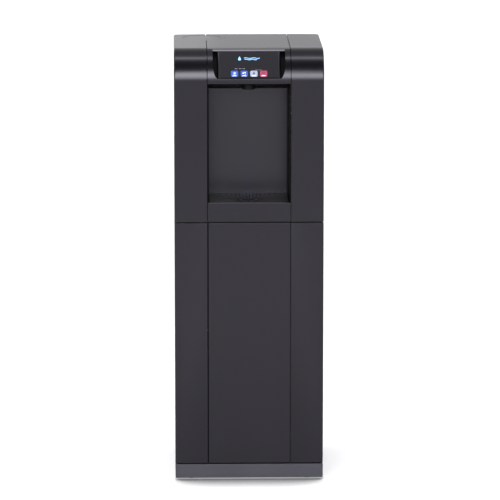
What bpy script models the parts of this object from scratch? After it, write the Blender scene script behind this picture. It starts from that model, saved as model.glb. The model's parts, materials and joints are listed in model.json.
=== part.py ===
"""A floor-standing, plumbed-in water cooler, built from its separate sub-parts.

Metres, +Z up, front towards -Y. The origin is on the floor, under the middle of the body.
Driving dimensions come first. Each sub-part has its own function below.
"""

from math import cos, pi, radians, sin, sqrt

import bmesh
import bpy
from mathutils import Matrix, Vector

# ---- Overall size ----
WIDTH = 0.380
DEPTH = 0.345
BODY_HEIGHT = 1.107
FOOT_GAP = 0.006  # the feet hold the plinth this far off the floor
SIDE = WIDTH / 2
FRONT = -DEPTH / 2
BACK = DEPTH / 2
TOP = FOOT_GAP + BODY_HEIGHT
FORWARD, BACKWARD = (0, -1, 0), (0, 1, 0)

# ---- Gaps and walls ----
GAP = 0.0003  # between pieces that touch
GROOVE = 0.0015  # between the middle pieces and the side panels
WALL = 0.0025
PANEL_EDGE = 0.004  # rounding of the side panels' long outer edges
REAR_CORNER = 0.010
FLANGE = 0.012

# ---- Heights of the casing's bands ----
PLINTH_TOP = FOOT_GAP + 0.036
CABINET_BOTTOM = PLINTH_TOP + 0.0035
CABINET_TOP = 0.6730
UPPER_BOTTOM = CABINET_TOP + 0.0034
FASCIA_TOP = 0.7255
BEZEL_BOTTOM = 1.0300

# ---- Middle strip, shoulder and lip ----
STRIP = 0.1068  # half the width between the side panels
MIDDLE = STRIP - GROOVE  # half the width of the pieces between them
SHOULDER = 0.0766  # radius from the front face over to the top
ARC_STEPS = 12
LIP_DEPTH = 0.0595  # from the front face to the top cover's front edge
LIP_DROP = 0.0018
LIP_UNDER = TOP - 0.0073

# ---- Control pod: its face leans back from its bottom edge ----
POD_LEAN = radians(42)
POD_EDGE_DEPTH = 0.004
POD_EDGE_HEIGHT = 1.0455
POD_HALF = 0.081
POD_LENGTH = 0.081
POD_THICK = 0.012
POD_ROUNDING = 0.007
RECESS_HALF = 0.092
RECESS_CORNER_WIDTH = 0.014
RECESS_CORNER_HEIGHT = 0.040
RECESS_BOTTOM = 1.0430
KEY_SIZE = 0.0184
KEY_PITCH = 0.0245
KEY_UP = 0.0125  # key centres, measured up the pod's face
KEY_PROUD = 0.0004
KEY_NAMES = ("key_cold", "key_sparkling", "key_ambient", "key_hot")

# ---- Alcove, tray and nozzle ----
ALCOVE_DEPTH = 0.155
ALCOVE_HALF = 0.1042
ALCOVE_BACK_TOP = 0.9985
SPLASH_FOOT = 0.7030
GRILLE_TOP = 0.7231
TRAY_BOTTOM = 0.6900
TRAY_HALF = 0.1025
TRAY_FRONT = FRONT + 0.0064
TRAY_BACK = FRONT + ALCOVE_DEPTH - 0.0010
NOZZLE_DEPTH = 0.060
NOZZLE_TIP = 1.0095
NOZZLE_RADIUS = 0.0175
LIGHT_HALF = 0.020
LIGHT_NEAR = FRONT + 0.132
LIGHT_FAR = FRONT + 0.140
DRAIN_Y = FRONT + NOZZLE_DEPTH
FAN_SLOTS = 26

# ---- Service door ----
DOOR_THICK = 0.018
DOOR_SKIN = 0.0022
HINGE_INSET = 0.0045  # hinge axis from the door's front face and its left edge
PIN_RADIUS = 0.0015

# ---- Filter and its cap, at the rear left ----
FILTER_X = -0.117
FILTER_Y = FRONT + 0.273
CAP_RADIUS = 0.0495
COLLAR_FLANGE = TOP - FLANGE - 0.0005

# ---- Inside and rear ----
REAR_PANEL_Y = 0.1475
REAR_PANEL_THICK = 0.0015
FOOT_X = 0.150
FOOT_Y = 0.135
COLD_X, COLD_Y = 0.010, 0.065
HOT_X, HOT_Y = 0.132, 0.060
GAS_X, GAS_Y = -0.134, -0.100
COMPRESSOR_Y = 0.062
COIL_Y = 0.163
COIL_HALF = 0.120
COIL_PITCH = 0.048
COIL_PASSES = 9
COIL_TOP = 0.630
SWITCH_Z = 0.150
SWITCH_XS = {"heater_switch": 0.103, "cooler_switch": 0.137}
INLET_X, INLET_Z = 0.120, 0.098
WATER_X, WATER_Z = -0.140, 0.100

# name: (colour, roughness, metallic)
FINISHES = {
    "casing": ((0.050, 0.049, 0.056), 0.36, 0.0),
    "plinth": ((0.075, 0.074, 0.084), 0.42, 0.0),
    "alcove": ((0.042, 0.041, 0.047), 0.34, 0.0),
    "tray": ((0.022, 0.022, 0.025), 0.40, 0.0),
    "blue_key": ((0.050, 0.110, 0.620), 0.25, 0.0),
    "pale_key": ((0.800, 0.820, 0.900), 0.25, 0.0),
    "red_key": ((0.700, 0.060, 0.140), 0.25, 0.0),
    "circuit_board": ((0.020, 0.120, 0.050), 0.45, 0.0),
    "lens": ((0.120, 0.300, 0.900), 0.15, 0.0),
    "sheet_steel": ((0.420, 0.420, 0.430), 0.45, 1.0),
    "bright_steel": ((0.620, 0.620, 0.630), 0.25, 1.0),
    "black_steel": ((0.030, 0.030, 0.032), 0.40, 0.0),
    "copper": ((0.720, 0.330, 0.180), 0.30, 1.0),
    "brass": ((0.700, 0.520, 0.220), 0.30, 1.0),
    "rubber": ((0.020, 0.020, 0.020), 0.75, 0.0),
    "foam": ((0.760, 0.720, 0.560), 0.90, 0.0),
    "white_plastic": ((0.780, 0.790, 0.800), 0.45, 0.0),
    "tubing": ((0.700, 0.740, 0.800), 0.40, 0.0),
    "grey_cylinder": ((0.330, 0.340, 0.360), 0.40, 0.0),
    "black_plastic": ((0.018, 0.018, 0.020), 0.45, 0.0),
}


# ---- Scene, collections and materials ----


def clear_scene():
    for old in list(bpy.data.objects):
        bpy.data.objects.remove(old, do_unlink=True)


def new_collection(name):
    made = bpy.data.collections.new(name)
    bpy.context.scene.collection.children.link(made)
    return made


def new_material(name, finish):
    colour, roughness, metallic = FINISHES[finish]
    made = bpy.data.materials.new(name)
    made.use_nodes = True
    shader = made.node_tree.nodes["Principled BSDF"]
    shader.inputs["Base Color"].default_value = (*colour, 1.0)
    shader.inputs["Roughness"].default_value = roughness
    shader.inputs["Metallic"].default_value = metallic
    made.diffuse_color = (*colour, 1.0)
    return made


clear_scene()
PARTS = new_collection("water_cooler")
CUTTERS = new_collection("water_cooler_cutters")


def new_object(name, bm, finish):
    """Makes a named sub-part from a bmesh."""
    mesh = bpy.data.meshes.new(name)
    bmesh.ops.recalc_face_normals(bm, faces=bm.faces)
    bm.to_mesh(mesh)
    bm.free()
    mesh.shade_smooth()
    mesh.set_sharp_from_angle(angle=radians(30))
    mesh.materials.append(new_material(name, finish))
    made = bpy.data.objects.new(name, mesh)
    PARTS.objects.link(made)
    return made


def combine(target, bm, operation):
    """Cuts a bmesh's solids out of a sub-part, or adds them to it."""
    label = f"{target.name}_{operation.lower()}_{len(target.modifiers)}"
    mesh = bpy.data.meshes.new(label)
    bmesh.ops.recalc_face_normals(bm, faces=bm.faces)
    bm.to_mesh(mesh)
    bm.free()
    tool = bpy.data.objects.new(label, mesh)
    tool.display_type = "WIRE"
    tool.hide_render = True
    tool.parent = target.parent
    CUTTERS.objects.link(tool)
    modifier = target.modifiers.new(label, "BOOLEAN")
    modifier.object = tool
    modifier.operation = operation
    modifier.solver = "EXACT"


# ---- Shapes added to a bmesh ----


def add_box(bm, x, y, z):
    """Adds a box between the low and high ends of each span."""
    spans = (x, y, z)
    size = [high - low for low, high in spans]
    centre = [(high + low) / 2 for low, high in spans]
    matrix = Matrix.Translation(centre) @ Matrix.Diagonal((*size, 1.0))
    return bmesh.ops.create_cube(bm, size=1.0, matrix=matrix)["verts"]


def add_cylinder(bm, start, end, radius, segments=20, end_radius=None):
    """Adds a cylinder, or a cone frustum, between two points."""
    start, end = Vector(start), Vector(end)
    turn = (end - start).to_track_quat("Z", "Y").to_matrix().to_4x4()
    bmesh.ops.create_cone(
        bm,
        cap_ends=True,
        segments=segments,
        radius1=radius,
        radius2=radius if end_radius is None else end_radius,
        depth=(end - start).length,
        matrix=Matrix.Translation((start + end) / 2) @ turn,
    )


def place(axis, a, b, along):
    """Turns outline coordinates and a distance along an axis into a point."""
    return {"X": (along, a, b), "Y": (a, along, b), "Z": (a, b, along)}[axis]


def add_prism(bm, outline, axis, low, high):
    """Extrudes a closed outline along an axis: (y, z) along X, (x, z) along Y, (x, y) along Z."""
    face = bm.faces.new([bm.verts.new(place(axis, a, b, low)) for a, b in outline])
    made = bmesh.ops.extrude_face_region(bm, geom=[face])["geom"]
    moved = [item for item in made if isinstance(item, bmesh.types.BMVert)]
    bmesh.ops.translate(bm, verts=moved, vec=Vector(place(axis, 0, 0, high - low)))
    bmesh.ops.recalc_face_normals(bm, faces=bm.faces)


def add_ribbon(bm, path, axis, low, high):
    """Sweeps an open path along an axis, as an open surface."""
    points = [bm.verts.new(place(axis, a, b, low)) for a, b in path]
    edges = [bm.edges.new(pair) for pair in zip(points, points[1:])]
    made = bmesh.ops.extrude_edge_only(bm, edges=edges)["geom"]
    moved = [item for item in made if isinstance(item, bmesh.types.BMVert)]
    bmesh.ops.translate(bm, verts=moved, vec=Vector(place(axis, 0, 0, high - low)))


def arc(centre, radius, start, end, steps):
    """Points on an arc, with its angles in degrees."""
    angles = [radians(start + (end - start) * i / steps) for i in range(steps + 1)]
    return [(centre[0] + radius * cos(a), centre[1] + radius * sin(a)) for a in angles]


def round_edges(bm, edges, radius, segments):
    bmesh.ops.bevel(
        bm, geom=list(edges), offset=radius, segments=segments, affect="EDGES", profile=0.5
    )


def upright_edges(bm, x=None, y=None):
    """Edges parallel to Z, kept to those at the given x or y."""
    found = []
    for edge in bm.edges:
        first, second = (v.co for v in edge.verts)
        upright = (first - second).normalized().cross(Vector((0, 0, 1))).length < 1e-4
        at_x = x is None or abs(first.x - x) < 1e-5
        at_y = y is None or abs(first.y - y) < 1e-5
        if upright and at_x and at_y:
            found.append(edge)
    return found


def orient(target, furthest, facing):
    """Turns an open surface so that its furthest face in one direction faces another."""
    furthest, facing = Vector(furthest), Vector(facing)
    extreme = max(target.data.polygons, key=lambda face: face.center.dot(furthest))
    if extreme.normal.dot(facing) < 0:
        target.data.flip_normals()


def thicken(target, thickness, outward=False):
    """Gives an open surface a thickness, behind its face or in front of it."""
    modifier = target.modifiers.new("thickness", "SOLIDIFY")
    modifier.thickness = thickness
    modifier.offset = 1.0 if outward else -1.0
    modifier.use_even_offset = True
    modifier.use_quality_normals = True


def turned(name, profile, finish, at=(0.0, 0.0), steps=24, ring=False):
    """Turns a (radius, height) profile, listed from top to bottom, about an upright axis."""
    mesh = bpy.data.meshes.new(name)
    count = len(profile)
    edges = [(i, (i + 1) % count) for i in range(count if ring else count - 1)]
    mesh.from_pydata([(radius, 0.0, height) for radius, height in profile], edges, [])
    mesh.materials.append(new_material(name, finish))
    made = bpy.data.objects.new(name, mesh)
    made.location = (*at, 0.0)
    PARTS.objects.link(made)
    screw = made.modifiers.new("turn", "SCREW")
    screw.axis = "Z"
    screw.steps = steps
    screw.render_steps = steps
    screw.use_merge_vertices = True
    screw.merge_threshold = 0.00005
    return made


def tube(name, route, radius, finish):
    """Makes a round tube along a route."""
    curve = bpy.data.curves.new(name, "CURVE")
    curve.dimensions = "3D"
    curve.bevel_depth = radius
    curve.bevel_resolution = 2
    curve.use_fill_caps = True
    spline = curve.splines.new("POLY")
    spline.points.add(len(route) - 1)
    for point, position in zip(spline.points, route):
        point.co = (*position, 1.0)
    curve.materials.append(new_material(name, finish))
    made = bpy.data.objects.new(name, curve)
    PARTS.objects.link(made)
    return made


def bent(points, radius, steps=3):
    """Rounds the inner corners of a route of straight runs."""
    points = [Vector(point) for point in points]
    route = [points[0]]
    for before, corner, after in zip(points, points[1:], points[2:]):
        enter = corner + (before - corner).normalized() * radius
        leave = corner + (after - corner).normalized() * radius
        for i in range(steps + 1):
            t = i / steps
            route.append(enter * (1 - t) ** 2 + corner * 2 * t * (1 - t) + leave * t * t)
    return route + [points[-1]]


# ---- Outlines shared by the casing's pieces ----


def shoulder_arc(offset=0.0, start_depth=SHOULDER, steps=ARC_STEPS):
    """The shoulder, from the top (at start_depth) down to the front face, as (y, z) points."""
    radius = SHOULDER - offset
    start = 90 + (0 if start_depth >= SHOULDER else slope_angle(start_depth, radius))
    return arc((FRONT + SHOULDER, TOP - SHOULDER), radius, start, 180, steps)


def slope_angle(depth, radius):
    """Degrees that the shoulder has turned from the top at this depth."""
    run = SHOULDER - depth
    return 90 - Vector((run, sqrt(radius * radius - run * run))).angle(Vector((1, 0))) * 180 / pi


def pod_point(up, out):
    """A (y, z) point that lies up the pod's face and out from it."""
    y = FRONT + POD_EDGE_DEPTH + up * sin(POD_LEAN) - out * cos(POD_LEAN)
    z = POD_EDGE_HEIGHT + up * cos(POD_LEAN) + out * sin(POD_LEAN)
    return y, z


# ---- Base ----


def base_plinth():
    bm = bmesh.new()
    add_box(bm, (-SIDE, SIDE), (FRONT, BACK), (FOOT_GAP, PLINTH_TOP))
    round_edges(bm, upright_edges(bm, y=FRONT), PANEL_EDGE, 3)
    round_edges(bm, upright_edges(bm, y=BACK), REAR_CORNER, 4)
    plinth = new_object("base_plinth", bm, "plinth")
    hollow = bmesh.new()
    inset = FLANGE
    add_box(hollow, (inset - SIDE, SIDE - inset), (FRONT + inset, BACK - inset), (-0.01, 0.1))
    combine(plinth, hollow, "DIFFERENCE")


def base_pan():
    bm = bmesh.new()
    inset = FLANGE + GAP
    add_box(
        bm,
        (inset - SIDE, SIDE - inset),
        (FRONT + inset, BACK - inset),
        (PLINTH_TOP - 0.002, PLINTH_TOP),
    )
    pan = new_object("base_pan", bm, "sheet_steel")
    holes = bmesh.new()
    for x in (-FOOT_X, FOOT_X):
        for y in (-FOOT_Y, FOOT_Y):
            add_cylinder(holes, (x, y, 0.02), (x, y, 0.06), 0.0047, 12)
    combine(pan, holes, "DIFFERENCE")


def feet():
    profile = [
        (0.0, 0.056),
        (0.004, 0.056),
        (0.004, 0.0090),
        (0.010, 0.0085),
        (0.016, 0.0050),
        (0.016, 0.0010),
        (0.015, 0.0),
        (0.0, 0.0),
    ]
    for front_back, y in (("front", -FOOT_Y), ("rear", FOOT_Y)):
        for side, x in (("left", -FOOT_X), ("right", FOOT_X)):
            turned(f"foot_{front_back}_{side}", profile, "rubber", (x, y), steps=16)


def inner_frame():
    """Four posts, joined by a rail along each side and a cross rail at the rear."""
    low, high = PLINTH_TOP + GAP, CABINET_TOP
    bm = bmesh.new()
    add_box(bm, (-0.177, 0.177), (0.130, 0.142), (0.650, 0.662))
    frame = new_object("inner_frame", bm, "sheet_steel")
    for side in (-1, 1):
        x = sorted((side * 0.165, side * 0.177))
        posts = bmesh.new()
        for y in ((-0.150, -0.138), (0.130, 0.142)):
            add_box(posts, x, y, (low, high))
        combine(frame, posts, "UNION")
        rail = bmesh.new()
        add_box(rail, x, (-0.145, 0.135), (low + 0.001, low + 0.010))
        combine(frame, rail, "UNION")


# ---- Side panels, deck and covers ----


def lower_panel(name, side):
    """A column, a side wall, a door jamb and a rear flange, bent from one sheet."""
    front_corner = arc((SIDE - PANEL_EDGE, FRONT + PANEL_EDGE), PANEL_EDGE, -90, 0, 3)
    rear_corner = arc((SIDE - REAR_CORNER, BACK - REAR_CORNER), REAR_CORNER, 0, 90, 4)
    path = [(STRIP, FRONT + 2 * FLANGE), (STRIP, FRONT)]
    path += front_corner + rear_corner + [(SIDE - 1.5 * FLANGE, BACK)]
    bm = bmesh.new()
    add_ribbon(bm, [(side * x, y) for x, y in path], "Z", CABINET_BOTTOM, CABINET_TOP)
    panel = new_object(name, bm, "casing")
    orient(panel, (side, 0, 0), (side, 0, 0))
    thicken(panel, WALL)


def cheek_outline(inset, bottom):
    """The side view of an upper panel, moved inwards, as (y, z) points."""
    back = BACK - inset
    return [(FRONT + inset, bottom), (back, bottom), (back, TOP - inset)] + shoulder_arc(inset)


def upper_panel(name, side):
    """A hollow moulding: column, shoulder, top and side wall, open below, behind and inwards."""
    bm = bmesh.new()
    add_prism(bm, cheek_outline(0.0, UPPER_BOTTOM), "X", *sorted((side * STRIP, side * SIDE)))
    round_edges(bm, upright_edges(bm, x=side * SIDE, y=BACK), REAR_CORNER, 4)
    bm.normal_update()
    round_edges(bm, outer_edges(bm, side), PANEL_EDGE, 3)
    panel = new_object(name, bm, "casing")
    under = UPPER_BOTTOM - 0.01
    hollow = bmesh.new()
    span = sorted((side * (STRIP + WALL), side * (SIDE - WALL)))
    add_prism(hollow, cheek_outline(WALL, under), "X", *span)
    inner_corner = upright_edges(hollow, x=side * (SIDE - WALL), y=BACK - WALL)
    round_edges(hollow, inner_corner, REAR_CORNER - WALL, 4)
    combine(panel, hollow, "DIFFERENCE")
    window = bmesh.new()
    span = sorted((side * (STRIP - 0.01), side * (STRIP + 2 * WALL)))
    add_prism(window, cheek_outline(FLANGE, under), "X", *span)
    combine(panel, window, "DIFFERENCE")
    rear = bmesh.new()
    span = sorted((side * (STRIP - 0.01), side * (SIDE - 1.5 * FLANGE)))
    add_box(rear, span, (BACK - 1.5 * FLANGE, BACK + 0.01), (under, TOP - FLANGE))
    combine(panel, rear, "DIFFERENCE")
    if side < 0:
        combine(panel, cap_hole(), "DIFFERENCE")


def outer_edges(bm, side):
    """Edges between the outer side and the front, shoulder or top."""
    found = []
    for edge in bm.edges:
        outer = [face for face in edge.link_faces if face.normal.x * side > 0.05]
        others = [face for face in edge.link_faces if face.normal.x * side <= 0.05]
        if len(outer) == 1 and (others[0].normal.z > 0.05 or others[0].normal.y < -0.05):
            found.append(edge)
    return found


def cap_hole():
    bm = bmesh.new()
    centre = (FILTER_X, FILTER_Y)
    add_cylinder(bm, (*centre, TOP - 0.014), (*centre, TOP + 0.01), CAP_RADIUS + 0.0005, 48)
    return bm


def mid_deck():
    bm = bmesh.new()
    inset = 0.002
    x = SIDE - WALL - GAP
    add_box(
        bm, (-x, x), (FRONT + inset, REAR_PANEL_Y - GAP), (CABINET_TOP + GAP, UPPER_BOTTOM - GAP)
    )
    deck = new_object("mid_deck", bm, "sheet_steel")
    passages = bmesh.new()
    add_box(passages, (-0.178, -0.160), (0.000, 0.050), (0.66, 0.70))
    add_box(passages, (0.090, 0.178), (0.105, 0.125), (0.66, 0.70))
    combine(deck, passages, "DIFFERENCE")


def top_cover():
    """The middle of the top, with skirts and a lip that follows the shoulder down a little."""
    edge = FRONT + LIP_DEPTH
    lip_top = TOP - LIP_DROP
    rounding = 0.002
    outline = [(edge, LIP_UNDER), (BACK, LIP_UNDER), (BACK, TOP), (FRONT + SHOULDER, TOP)]
    outline += arc((edge + rounding, lip_top - rounding), rounding, 90, 180, 3)
    bm = bmesh.new()
    add_prism(bm, outline, "X", -MIDDLE, MIDDLE)
    cover = new_object("top_cover", bm, "casing")
    hollow = bmesh.new()
    add_box(
        hollow,
        (WALL - MIDDLE, MIDDLE - WALL),
        (edge + 0.006, BACK - WALL),
        (LIP_UNDER - 0.01, TOP - WALL - LIP_DROP),
    )
    combine(cover, hollow, "DIFFERENCE")
    combine(cover, cap_hole(), "DIFFERENCE")


def lower_fascia():
    path = [
        (FRONT + 0.0055, FASCIA_TOP),
        (FRONT, FASCIA_TOP),
        (FRONT, UPPER_BOTTOM),
        (FRONT + 0.0055, UPPER_BOTTOM),
    ]
    bm = bmesh.new()
    add_ribbon(bm, path, "X", -MIDDLE, MIDDLE)
    fascia = new_object("lower_fascia", bm, "casing")
    orient(fascia, FORWARD, FORWARD)
    thicken(fascia, WALL)


def front_bezel():
    """The skin around the controls: a strip below them and an arm at each side."""
    path = shoulder_arc(start_depth=LIP_DEPTH - 0.0015)
    path += [(FRONT, BEZEL_BOTTOM), (FRONT + 0.0035, BEZEL_BOTTOM)]
    bm = bmesh.new()
    add_ribbon(bm, path, "X", -MIDDLE, MIDDLE)
    bezel = new_object("front_bezel", bm, "casing")
    orient(bezel, FORWARD, FORWARD)
    thicken(bezel, WALL)
    opening = bmesh.new()
    add_prism(opening, recess_outline(), "Y", FRONT - 0.01, FRONT + SHOULDER)
    combine(bezel, opening, "DIFFERENCE")


def recess_outline():
    """The bezel's opening, whose tall oval corners run in to the pod's lower corners."""
    quarter = arc((0, 0), 1.0, 0, -90, 6)
    right = [
        (
            RECESS_HALF - RECESS_CORNER_WIDTH * (1 - across),
            RECESS_BOTTOM + RECESS_CORNER_HEIGHT * (1 + up),
        )
        for across, up in quarter
    ]
    left = [(-x, z) for x, z in reversed(right)]
    return [(RECESS_HALF, TOP + 0.01)] + right + left + [(-RECESS_HALF, TOP + 0.01)]


def cap_collar():
    """A ring in the hole of the top, with a flange under the panels' edges."""
    seat = TOP - WALL - 0.0008
    flange, outer, bore = COLLAR_FLANGE, CAP_RADIUS + 0.0002, 0.0440
    profile = [(outer, seat), (outer, flange), (0.0555, flange), (0.0555, flange - 0.0025)]
    profile += [(bore, flange - 0.0025), (bore, seat)]
    turned("cap_collar", profile, "casing", (FILTER_X, FILTER_Y), steps=32, ring=True)


def filter_cap():
    high = TOP - GAP
    under = TOP - WALL - 0.0005
    profile = [
        (0.0, high),
        (CAP_RADIUS - 0.0006, high),
        (CAP_RADIUS, high - 0.0006),
        (CAP_RADIUS, under),
        (0.0435, under),
        (0.0435, under - 0.009),
        (0.0415, under - 0.009),
        (0.0415, under),
        (0.0, under),
    ]
    turned("filter_cap", profile, "casing", (FILTER_X, FILTER_Y), steps=32)


def rear_panel():
    x = SIDE - WALL - GAP
    bm = bmesh.new()
    add_box(
        bm,
        (-x, x),
        (REAR_PANEL_Y, REAR_PANEL_Y + REAR_PANEL_THICK),
        (CABINET_BOTTOM, COLLAR_FLANGE - 0.0035),
    )
    panel = new_object("rear_panel", bm, "black_steel")
    cuts = bmesh.new()
    through = (REAR_PANEL_Y - 0.01, REAR_PANEL_Y + 0.01)
    for row in range(6):
        z = 0.84 + 0.022 * row
        for side in (-1, 1):
            add_box(cuts, sorted((side * 0.030, side * 0.140)), through, (z, z + 0.006))
    add_box(cuts, (0.086, 0.154), through, (0.071, 0.179))
    for x, z, radius in panel_holes():
        add_cylinder(cuts, (x, through[0], z), (x, through[1], z), radius, 12)
    combine(panel, cuts, "DIFFERENCE")


def panel_holes():
    """Holes for the two condenser pipes and the water inlet, as (x, z, radius)."""
    coil_bottom = COIL_TOP - COIL_PITCH * (COIL_PASSES - 1)
    return (
        (-COIL_HALF, COIL_TOP, 0.0050),
        (COIL_HALF, coil_bottom, 0.0050),
        (WATER_X, WATER_Z, 0.0085),
    )


# ---- Controls ----


def control_recess():
    """The dark tub behind the bezel's opening, which the pod stands in."""
    back = -POD_THICK - GAP - WALL
    shelf = LIP_UNDER - GAP
    inner = WALL + GAP
    high, low = pod_point(0.088, back), pod_point(-0.004, back)
    outline = [low, high, (high[0], shelf)]
    skin = shoulder_arc(offset=inner, start_depth=0.0504, steps=8)
    outline += [point for point in skin if RECESS_BOTTOM - 0.003 < point[1] < shelf]
    bm = bmesh.new()
    half = RECESS_HALF + 0.0035
    add_prism(bm, outline, "X", -half, half)
    tub = new_object("control_recess", bm, "black_plastic")
    floor = -POD_THICK - GAP
    pocket = bmesh.new()
    corners = [pod_point(*at) for at in ((-0.001, floor), (0.2, floor), (0.2, 0.1), (-0.001, 0.1))]
    add_prism(pocket, corners, "X", WALL - half, half - WALL)
    combine(tub, pocket, "DIFFERENCE")


def pod_frame():
    """An empty on the pod's bottom edge: X across, Y up the face, Z out of it."""
    frame = bpy.data.objects.new("pod_frame", None)
    frame.location = (0.0, FRONT + POD_EDGE_DEPTH, POD_EDGE_HEIGHT)
    frame.rotation_euler = (pi / 2 - POD_LEAN, 0.0, 0.0)
    PARTS.objects.link(frame)
    return frame


def key_centres():
    return [(i - 1.5) * KEY_PITCH for i in range(len(KEY_NAMES))]


def add_rounded_square(bm, size, centre, corner, low, high):
    """Adds a square block with rounded corners, its sides along local X and Y."""
    half = size / 2
    block = bmesh.new()
    x, y = centre
    add_box(block, (x - half, x + half), (y - half, y + half), (low, high))
    round_edges(block, upright_edges(block), corner, 3)
    made = bpy.data.meshes.new("block")
    block.to_mesh(made)
    block.free()
    bm.from_mesh(made)
    bpy.data.meshes.remove(made)


def control_pod(frame):
    bm = bmesh.new()
    add_box(bm, (-POD_HALF, POD_HALF), (0.0, POD_LENGTH), (-POD_THICK, 0.0))
    long_edges = [
        edge
        for edge in bm.edges
        if all(abs(v.co.z) < 1e-6 for v in edge.verts)
        and abs(edge.verts[0].co.x - edge.verts[1].co.x) < 1e-6
    ]
    round_edges(bm, long_edges, POD_ROUNDING, 5)
    pod = new_object("control_pod", bm, "casing")
    pod.parent = frame
    wall = 0.0045
    pocket = bmesh.new()
    add_box(
        pocket,
        (wall - POD_HALF, POD_HALF - wall),
        (0.0020, POD_LENGTH - WALL),
        (-POD_THICK - 0.01, -WALL),
    )
    combine(pod, pocket, "DIFFERENCE")
    holes = bmesh.new()
    for x in key_centres():
        add_rounded_square(holes, KEY_SIZE + 0.0006, (x, KEY_UP), 0.0043, -0.006, 0.004)
    combine(pod, holes, "DIFFERENCE")


def control_board(frame):
    bm = bmesh.new()
    add_box(bm, (-0.072, 0.072), (0.0040, 0.0740), (-0.0084, -0.0068))
    board = new_object("control_board", bm, "circuit_board")
    board.parent = frame


def keys(frame):
    """Each key is a cap with a retaining flange behind the pod's face."""
    finishes = ("blue_key", "blue_key", "pale_key", "red_key")
    for name, finish, x in zip(KEY_NAMES, finishes, key_centres()):
        bm = bmesh.new()
        add_rounded_square(bm, KEY_SIZE, (0.0, 0.0), 0.0040, -0.0045, KEY_PROUD)
        key = new_object(name, bm, finish)
        key.parent = frame
        key.location = (x, KEY_UP, 0.0)
        flange = bmesh.new()
        reach = 0.0100
        across, up = (x - reach, x + reach), (KEY_UP - reach, KEY_UP + reach)
        add_box(flange, across, up, (-0.0055, -WALL - 0.0008))
        combine(key, flange, "UNION")


# ---- Alcove ----


def alcove_backsplash():
    """A flat sheet that runs down behind the tray."""
    wall_y = FRONT + ALCOVE_DEPTH
    path = [(wall_y, ALCOVE_BACK_TOP - 0.0012), (wall_y, SPLASH_FOOT)]
    bm = bmesh.new()
    half = ALCOVE_HALF - GAP
    add_ribbon(bm, path, "X", -half, half)
    splash = new_object("alcove_backsplash", bm, "alcove")
    orient(splash, BACKWARD, FORWARD)
    thicken(splash, 0.002)


def alcove_shell():
    """The two side walls of the alcove and the wall behind its backsplash, bent from one sheet."""
    inner, back = ALCOVE_HALF, FRONT + ALCOVE_DEPTH + 0.0045
    path = [(-inner, FRONT + 0.0060), (-inner, back), (inner, back), (inner, FRONT + 0.0060)]
    bm = bmesh.new()
    add_ribbon(bm, path, "Z", UPPER_BOTTOM + GAP, 1.0280)
    shell = new_object("alcove_shell", bm, "alcove")
    orient(shell, BACKWARD, BACKWARD)
    thicken(shell, 0.0018, outward=True)


def ceiling_height(depth):
    """The ceiling's underside, which falls towards the back."""
    return BEZEL_BOTTOM - (BEZEL_BOTTOM - ALCOVE_BACK_TOP) * depth / ALCOVE_DEPTH


def alcove_ceiling():
    near, far = 0.0045, ALCOVE_DEPTH + 0.004
    low_near, low_far = ceiling_height(near), ceiling_height(far)
    outline = [
        (FRONT + near, low_near),
        (FRONT + far, low_far),
        (FRONT + far, low_far + 0.002),
        (FRONT + near, low_near + 0.002),
    ]
    bm = bmesh.new()
    half = ALCOVE_HALF - GAP
    add_prism(bm, outline, "X", -half, half)
    ceiling = new_object("alcove_ceiling", bm, "alcove")
    cuts = bmesh.new()
    y = FRONT + NOZZLE_DEPTH
    add_cylinder(cuts, (0, y, 0.98), (0, y, 1.06), NOZZLE_RADIUS + 0.0004, 28)
    slot = (LIGHT_NEAR - 0.0004, LIGHT_FAR + 0.0004)
    add_box(cuts, (-LIGHT_HALF - 0.0004, LIGHT_HALF + 0.0004), slot, (0.98, 1.06))
    combine(ceiling, cuts, "DIFFERENCE")


def alcove_light():
    """A lamp lens set a little way up the slot at the back of the ceiling."""
    low = ceiling_height(LIGHT_NEAR - FRONT) + 0.0004
    bm = bmesh.new()
    add_box(bm, (-LIGHT_HALF, LIGHT_HALF), (LIGHT_NEAR, LIGHT_FAR), (low, low + 0.007))
    new_object("alcove_light", bm, "lens")


def nozzle_parts():
    """The shroud hangs through the ceiling, with a cold and a hot spout inside it."""
    y = FRONT + NOZZLE_DEPTH
    flange_low, flange_high = 1.0268, 1.0288
    bore = NOZZLE_RADIUS - 0.0025
    profile = [
        (0.0, flange_high),
        (0.0215, flange_high),
        (0.0215, flange_low),
        (NOZZLE_RADIUS, flange_low),
        (NOZZLE_RADIUS, NOZZLE_TIP + 0.002),
        (NOZZLE_RADIUS - 0.001, NOZZLE_TIP),
        (bore, NOZZLE_TIP),
        (bore, flange_low),
        (0.0, flange_low),
    ]
    shroud = turned("nozzle_shroud", profile, "casing", (0.0, y), steps=24)
    holes = bmesh.new()
    for x in (-0.0065, 0.0065):
        add_cylinder(holes, (x, y, 1.02), (x, y, 1.04), 0.0045, 16)
    combine(shroud, holes, "DIFFERENCE")
    for name, x in (("cold_nozzle", -0.0065), ("hot_nozzle", 0.0065)):
        tip = NOZZLE_TIP + 0.0020
        spout = [(0.0041, 1.0370), (0.0041, tip), (0.0026, tip), (0.0026, 1.0370)]
        turned(name, spout, "bright_steel", (x, y), steps=16, ring=True)


def tray_seat():
    bm = bmesh.new()
    outer = ALCOVE_HALF - GAP
    y = (FRONT + 0.0060, TRAY_BACK + 0.0010)
    add_box(bm, (-outer, outer), y, (UPPER_BOTTOM + 0.003, 0.6960))
    seat = new_object("tray_seat", bm, "tray")
    pocket = bmesh.new()
    add_box(
        pocket,
        (-TRAY_HALF - GAP, TRAY_HALF + GAP),
        (TRAY_FRONT - 0.001, TRAY_BACK + GAP),
        (TRAY_BOTTOM - GAP, 0.72),
    )
    combine(seat, pocket, "DIFFERENCE")


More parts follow.
